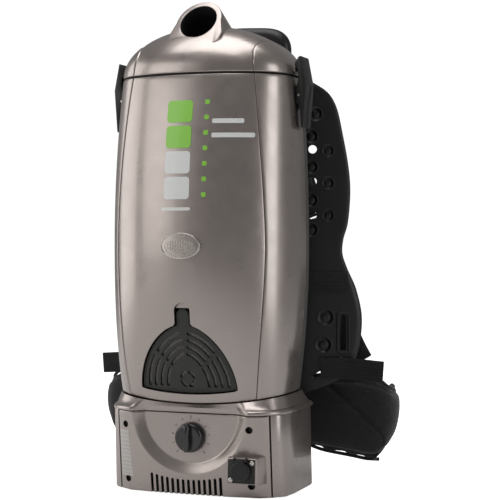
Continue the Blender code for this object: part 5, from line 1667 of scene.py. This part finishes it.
def shoulder_strap(side, word):
    """Padded strap from the plate's top over the shoulder, bound along both edges."""
    path = side_path(SHOULDER_POINTS, side, 80)
    across = (side * 1, 0.25, 0.1)
    frames = path_frames(path, across)
    half = STRAP_WIDTH / 2 - 1.5 * MM

    def width(i):
        end = min(i, len(path) - 1 - i) / 6
        return half * (1 - 0.22 * max(0.0, 1 - end) ** 2)

    def section(i):
        end = min(i, len(path) - 1 - i)
        close = (0.45, 0.75, 0.93)[end] if end < 3 else 1.0
        return [(u, v * close) for u, v in pad_section(-width(i), width(i), 9.5 * MM)]

    right = [p + s * width(i) for i, (p, (_, s, _)) in enumerate(zip(path, frames))]
    left = [p - s * width(i) for i, (p, (_, s, _)) in enumerate(zip(path, frames))]
    edge = [p for pair in zip(right, left) for p in pair]
    places = np.array([tuple(p) for p in path])

    def groove(co):
        i = int(((places - np.array(co)) ** 2).sum(axis=1).argmin())
        offset = (co - path[i]).dot(frames[i][1])
        cross = 0.8 * line_press((i % 20 - 10) * 3.2 * MM) if abs(offset) < 15 * MM else 0.0
        return max(line_press(abs(offset) - 15 * MM), cross)

    stuffed(f"shoulder_strap_{word}", sweep(path, across, section), PAD_PUFF, edge, groove)
    loop = right + between(right[-1], left[-1], 14) + left[::-1] + between(left[0], right[0], 14)
    bead(loop, 1.8 * MM, f"shoulder_binding_{word}", "binding", closed=True, across=(0.3, 0.9, 0.2))


def lower_strap(side, word):
    """Adjuster frame under the shoulder strap and the webbing that runs down from it to the belt."""
    lower = side_path(LOWER_STRAP_POINTS, side, 60)
    x, y, z = SHOULDER_POINTS[-1]
    top = Vector((side * x, y, z)) * MM
    bottom = lower[0]
    down = (bottom - top).normalized()
    across = (side * 1, 0.1, 0.2)
    wide = (Vector((side, 0.25, 0.1)) - down * down.dot(Vector((side, 0.25, 0.1)))).normalized()
    thin = down.cross(wide).normalized()
    length = (bottom - top).length - 9.5 * MM
    start = top + down * 4.2 * MM

    def slab(u0, u1, v0, v1, half):
        corners = [start + down * v + wide * u for u, v in ((u0, v0), (u1, v0), (u1, v1), (u0, v1))]
        return prism([c - thin * half for c in corners], thin * 2 * half)

    frame_body = rounded(slab(-20 * MM, 20 * MM, 0, length, 2.8 * MM), 1.3 * MM, 3)
    adjuster = piece(f"strap_adjuster_{word}", frame_body, "black", nodes=[f"strap_adjuster_{word}"])
    slots = [slab(-17.6 * MM, 17.6 * MM, v0 * MM, (v0 + 3.1) * MM, 5 * MM) for v0 in (2.4, 8)]
    carve(adjuster, [(merged(slots), "black")])
    tuck = [start + down * 9.5 * MM - thin * 0.1 * MM, start + down * 12 * MM + thin * 3.9 * MM]
    path = catmull([tuck[0], tuck[1], *lower[::6], lower[-1]], 74)
    webbing(f"lower_strap_{word}", path, across, 33 * MM, [f"lower_strap_{word}"], 2.4 * MM)


def side_band(side, word):
    """Short band from the plate's foot to the belt."""
    path = side_path(SIDE_BAND_POINTS, side, 30)
    webbing(f"side_band_{word}", path, (0, 0, 1), WEBBING_WIDTH, [f"side_band_{word}"])


def plate_webbing():
    """Webbing laid flat across the plate's front face."""
    path = [Vector((x, plate_y(x) - 1.35 * MM, 235 * MM)) for x in spread(-137 * MM, 137 * MM, 90)]
    webbing("plate_webbing", path, (0, 0, 1), 24 * MM, ["plate_webbing"])


BELT_MIDDLE = 84 * MM
BELT_PUFF = 7 * MM


def belt_limits(share):
    """Lower edge, upper edge and thickness of a belt pad along its length."""
    taper = max(0.0, share - 0.45) / 0.55
    low = 35 - 15 * min(share / 0.3, 1.0) + 34 * taper
    high = 124 - 14 * min(max(share - 0.28, 0.0) / 0.3, 1.0) - 4 * taper
    return low * MM, high * MM, 13 * MM * (1 - 0.35 * taper)


def belt_pad(side, word):
    """Cupped hip wing: padded, bound along its edge, with a sewn line inside the binding."""
    path = side_path([(x, y, 0) for x, y in BELT_POINTS], side, 64)
    rings, edge = [], []
    for i, (point, (tangent, _, _)) in enumerate(zip(path, path_frames(path, (0, 0, 1)))):
        out = Vector((tangent.y, -tangent.x, 0)) * side
        end = min(i, len(path) - 1 - i)
        close = (0.4, 0.7, 0.9)[end] if end < 3 else 1.0
        low, high, thick = belt_limits(i / (len(path) - 1))
        corner = 16 * MM * max(0.0, 1 - end / 9) ** 2.2
        ring = []
        for z, v in pad_section(low + corner + 1.5 * MM, high - corner - 1 * MM, thick * 0.82 * close, 6, 19):
            dip = -6.5 * (z - BELT_MIDDLE) ** 2 - thick / 2
            ring.append(point + out * (dip + v) + Vector((0, 0, z)))
        rings.append(ring)
        edge.append((ring[0] + ring[-1]) / 2)
        edge.append((ring[18] + ring[19]) / 2)
    places = np.array([(p.x, p.y) for p in path])

    def groove(co):
        i = int(((places - np.array(co.xy)) ** 2).sum(axis=1).argmin())
        share = i / (len(path) - 1)
        low, high, _ = belt_limits(share)
        end = 1.0 if 5 < i < 58 else 0.0
        lines = [line_press(co.z - low - 7 * MM), line_press(co.z - high + 8 * MM)]
        fold = 100 * MM - (share - 0.2) * 230 * MM
        lines.append(1.3 * line_press(co.z - fold, 4 * MM) if low < co.z < high else 0)
        return end * max(lines)

    stuffed(f"belt_pad_{word}", loft(rings), BELT_PUFF, edge, groove)
    lower, upper = edge[::2], edge[1::2]
    loop = lower + between(lower[-1], upper[-1], 16) + upper[::-1] + between(upper[0], lower[0], 24)
    bead(loop, 2.1 * MM, f"belt_binding_{word}", "binding", closed=True, across=(0.2, 0.3, 0.9))


def belt_webbing(side, word):
    """Webbing from the pad's tip to the buckle; the left one runs over the sliding plug."""
    over = 5.2 if side < 0 else 0.0
    points = [(x, y + over * min(1, k / 3)) for k, (x, y) in enumerate(BELT_WEBBING_POINTS)]
    if side < 0:
        points.append((12, points[-1][1]))
    path = catmull([(side * x * MM, y * MM, 86 * MM) for x, y in points], 70)
    webbing(f"belt_webbing_{word}", path, (0, 0, 1), WEBBING_WIDTH * 1.5, [f"belt_webbing_{word}"])


def buckle():
    """Side-release buckle: a hollow socket with finger openings and a plug with sprung prongs."""
    y = BUCKLE_Y
    shell = box((2 * MM, y - 6 * MM, 62 * MM), (40 * MM, y + 6 * MM, 110 * MM), 2.6 * MM, 4)
    socket = piece("buckle_socket", shell, "black", nodes=["buckle_socket"])
    cuts = [box((-5 * MM, y - 3.4 * MM, 67 * MM), (28 * MM, y + 3.4 * MM, 105 * MM), 0.8 * MM, 2)]
    cuts.append(box((32 * MM, y - 8 * MM, 67 * MM), (36 * MM, y + 8 * MM, 105 * MM), 1.2 * MM, 3))
    for z in (62, 110):
        cuts.append(box((10 * MM, y - 3 * MM, (z - 5.5) * MM),
                        (24 * MM, y + 3 * MM, (z + 5.5) * MM), 2.5 * MM, 3))
    cuts.append(box((8 * MM, y + 5.4 * MM, 76 * MM), (26 * MM, y + 9 * MM, 96 * MM), 1 * MM, 2))
    carve(socket, [(merged(cuts), "black")])
    body = box((-34 * MM, y - 3.6 * MM, 64 * MM), (1.4 * MM, y + 3.6 * MM, 108 * MM), 2 * MM, 4)
    plug = piece("buckle_plug", body, "black", "belt_plug", ["buckle_plug"])
    prongs = []
    for low, high in ((68.5, 75), (82.5, 89.5), (97, 103.5)):
        prongs.append(box((-3 * MM, y - 2.6 * MM, low * MM), (24 * MM, y + 2.6 * MM, high * MM), 1.1 * MM, 3))
    carve(plug, [(merged(prongs), "black")], "UNION")
    gaps = [box((-30 * MM, y - 8 * MM, 67 * MM), (-26 * MM, y + 8 * MM, 105 * MM), 1.2 * MM, 3)]
    gaps += [box((-22 * MM, y - 8 * MM, z * MM), (-2 * MM, y - 2.9 * MM, (z + 5) * MM), 0.4 * MM, 2)
             for z in (72, 83.5, 95)]
    carve(plug, [(merged(gaps), "black")])


# ---------------------------------------------------------------- inside


def filter_bag():
    """Creased paper bag in the canister, and the stiff collar at its mouth."""
    knots = [(218, 34, 0), (226, 20, 0), (260, 14, 0), (340, 13, 0), (410, 15, 0), (432, 26, 0), (438, 40, 0)]
    rings = []
    for knot in catmull(knots, 44):
        ring = []
        for a in turns(120, 0.5):
            point = canister_point(a, knot.x * MM, (knot.y + 1.5) * MM)
            crease = noise.noise(Vector((math.cos(a) * 3, math.sin(a) * 3, knot.x / 26)))
            point -= Vector((point.x, point.y, 0)).normalized() * (1.6 + 3.2 * crease) * MM
            ring.append(point)
        rings.append(ring)
    piece("filter_bag", loft(rings), "paper", nodes=["filter_bag"], angle=60)
    corners = ((-42, -38), (42, -38), (42, 42), (-42, 42))
    collar = prism([(x * MM, y * MM, 439 * MM) for x, y in corners], (0, 0, 3 * MM))
    upright = [e for e in collar.edges if abs((e.verts[0].co - e.verts[1].co).z) > 1 * MM]
    bmesh.ops.bevel(collar, geom=upright, offset=9 * MM, segments=8, profile=0.5, affect="EDGES")
    obj = piece("bag_collar", rounded(collar, 0.5 * MM, 2, 60), "paper", nodes=["bag_collar"])
    carve(obj, [(cylinder(26.5 * MM, (0, 2 * MM, 430 * MM), (0, 0, 1), 20 * MM, 64), "rubber")])


SLOT_LOOKS = {
    "silver_casing": "silver", "dark_casing": "rear_grey", "black_plastic": "black", "gloss_black": "gloss",
    "grille_plastic": "grille", "rubber": "rubber", "steel": "steel", "copper_winding": "copper",
    "circuit_board": "board", "battery_wrap": "wrap", "filter_paper": "paper", "filter_foam": "foam",
    "webbing": "binding", "pad_fabric": "pad", "badge_metal": "badge",
}


def dress_inner_nodes():
    """The CAD nodes that still show inside get the same materials as the outer pieces."""
    for part in frame["record"]["subparts"]:
        node = frame["nodes"][part["node"]]
        if node.hide_render:
            continue
        node.data.materials.clear()
        node.data.materials.append(MATERIALS[SLOT_LOOKS[part["material_slot"]]])


# ---------------------------------------------------------------- studio


def floor():
    """Pale ground just under the object, which the camera sees as near white."""
    bm = bmesh.new()
    corners = [(-9, -9), (9, -9), (9, 9), (-9, 9)]
    bm.faces.new([bm.verts.new((x, y, -0.5 * MM)) for x, y in corners])
    mesh = bpy.data.meshes.new("studio_floor")
    bm.to_mesh(mesh)
    bm.free()
    obj = bpy.data.objects.new("studio_floor", mesh)
    bpy.context.scene.collection.objects.link(obj)
    s = Shader("studio_floor", (0.86, 0.86, 0.86), 0.8)
    s.colour(s.blend_colour(s.noise(1.5, 2.0), (0.85, 0.85, 0.85), (0.88, 0.88, 0.88)))
    s.set(Emission_Color=(1, 1, 1, 1))
    seen = s.node("LightPath").outputs["Is Camera Ray"]
    s.link(s.math("MULTIPLY", seen, 0.9), s.bsdf.inputs["Emission Strength"])
    mesh.materials.append(s.material)


def area_light(name, place, target, size, power, colour=(1, 1, 1)):
    data = bpy.data.lights.new(name, "AREA")
    data.shape = "RECTANGLE"
    data.size, data.size_y = size
    data.energy = power
    data.color = colour
    obj = bpy.data.objects.new(name, data)
    obj.location = place
    obj.rotation_euler = (Vector(target) - Vector(place)).to_track_quat("-Z", "Y").to_euler()
    bpy.context.scene.collection.objects.link(obj)


def studio():
    """Dim surround that looks white behind the object, with soft boxes left, front left, right and above."""
    floor()
    world = bpy.data.worlds.new("studio")
    bpy.context.scene.world = world
    world.use_nodes = True
    tree = world.node_tree
    background = tree.nodes["Background"]
    background.inputs["Color"].default_value = (1, 1, 1, 1)
    strength = tree.nodes.new("ShaderNodeMapRange")
    strength.inputs["To Min"].default_value = 0.2
    strength.inputs["To Max"].default_value = 1.05
    seen = tree.nodes.new("ShaderNodeLightPath").outputs["Is Camera Ray"]
    tree.links.new(seen, strength.inputs["Value"])
    tree.links.new(strength.outputs["Result"], background.inputs["Strength"])
    middle = (0, 0, 0.32)
    area_light("left_box", (-1.9, -0.1, 0.6), middle, (1.3, 1.7), 13, (1.0, 0.985, 0.97))
    area_light("front_left_box", (-1.7, -1.9, 1.0), middle, (1.5, 1.7), 15, (1.0, 0.985, 0.97))
    area_light("right_box", (2.0, -0.25, 0.6), middle, (0.8, 1.7), 12, (0.98, 0.99, 1.0))
    area_light("top_box", (-0.1, -0.3, 2.2), middle, (1.6, 1.6), 30)
    bpy.context.scene.view_settings.view_transform = "Standard"


CAMERA_PLACE = (0.6113, -1.5118, 0.290)
CAMERA_TURN = math.radians(20.4)
CAMERA_TILT = math.radians(0.606)
CAMERA_LENS = 102.096
CAMERA_SENSOR = 36


def camera():
    """Long lens a little right of the front, nearly level."""
    data = bpy.data.cameras.new("camera")
    data.lens = CAMERA_LENS
    data.sensor_width = CAMERA_SENSOR
    obj = bpy.data.objects.new("camera", data)
    turn, tilt = CAMERA_TURN, CAMERA_TILT
    look = Vector((-math.sin(turn) * math.cos(tilt), math.cos(turn) * math.cos(tilt), -math.sin(tilt)))
    obj.location = CAMERA_PLACE
    obj.rotation_euler = look.to_track_quat("-Z", "Y").to_euler()
    bpy.context.scene.collection.objects.link(obj)
    bpy.context.scene.camera = obj


def build():
    camera()
    base_housing()
    front_panel()
    vent_shade_sheet()
    panel_screws()
    speed_knob()
    charging_socket()
    label()
    canister_front()
    canister_rear()
    opening_lip()
    exhaust_cover()
    badge()
    graphics()
    lid_dome()
    inlet_elbow()
    lid_seal()
    back_plate()
    carry_handle()
    plate_webbing()
    filter_bag()
    plate_pad("back_pad", 262 * MM, 462 * MM, thick=16 * MM, shrink=52 * MM)
    plate_pad("lumbar_pad", 128 * MM, 246 * MM, thick=17 * MM, shrink=34 * MM)
    for side, word in ((-1, "left"), (1, "right")):
        latch(side, word)
        latch_bracket(side, word)
        shoulder_strap(side, word)
        lower_strap(side, word)
        side_band(side, word)
        belt_pad(side, word)
        belt_webbing(side, word)
    buckle()
    dress_inner_nodes()
    studio()


build()
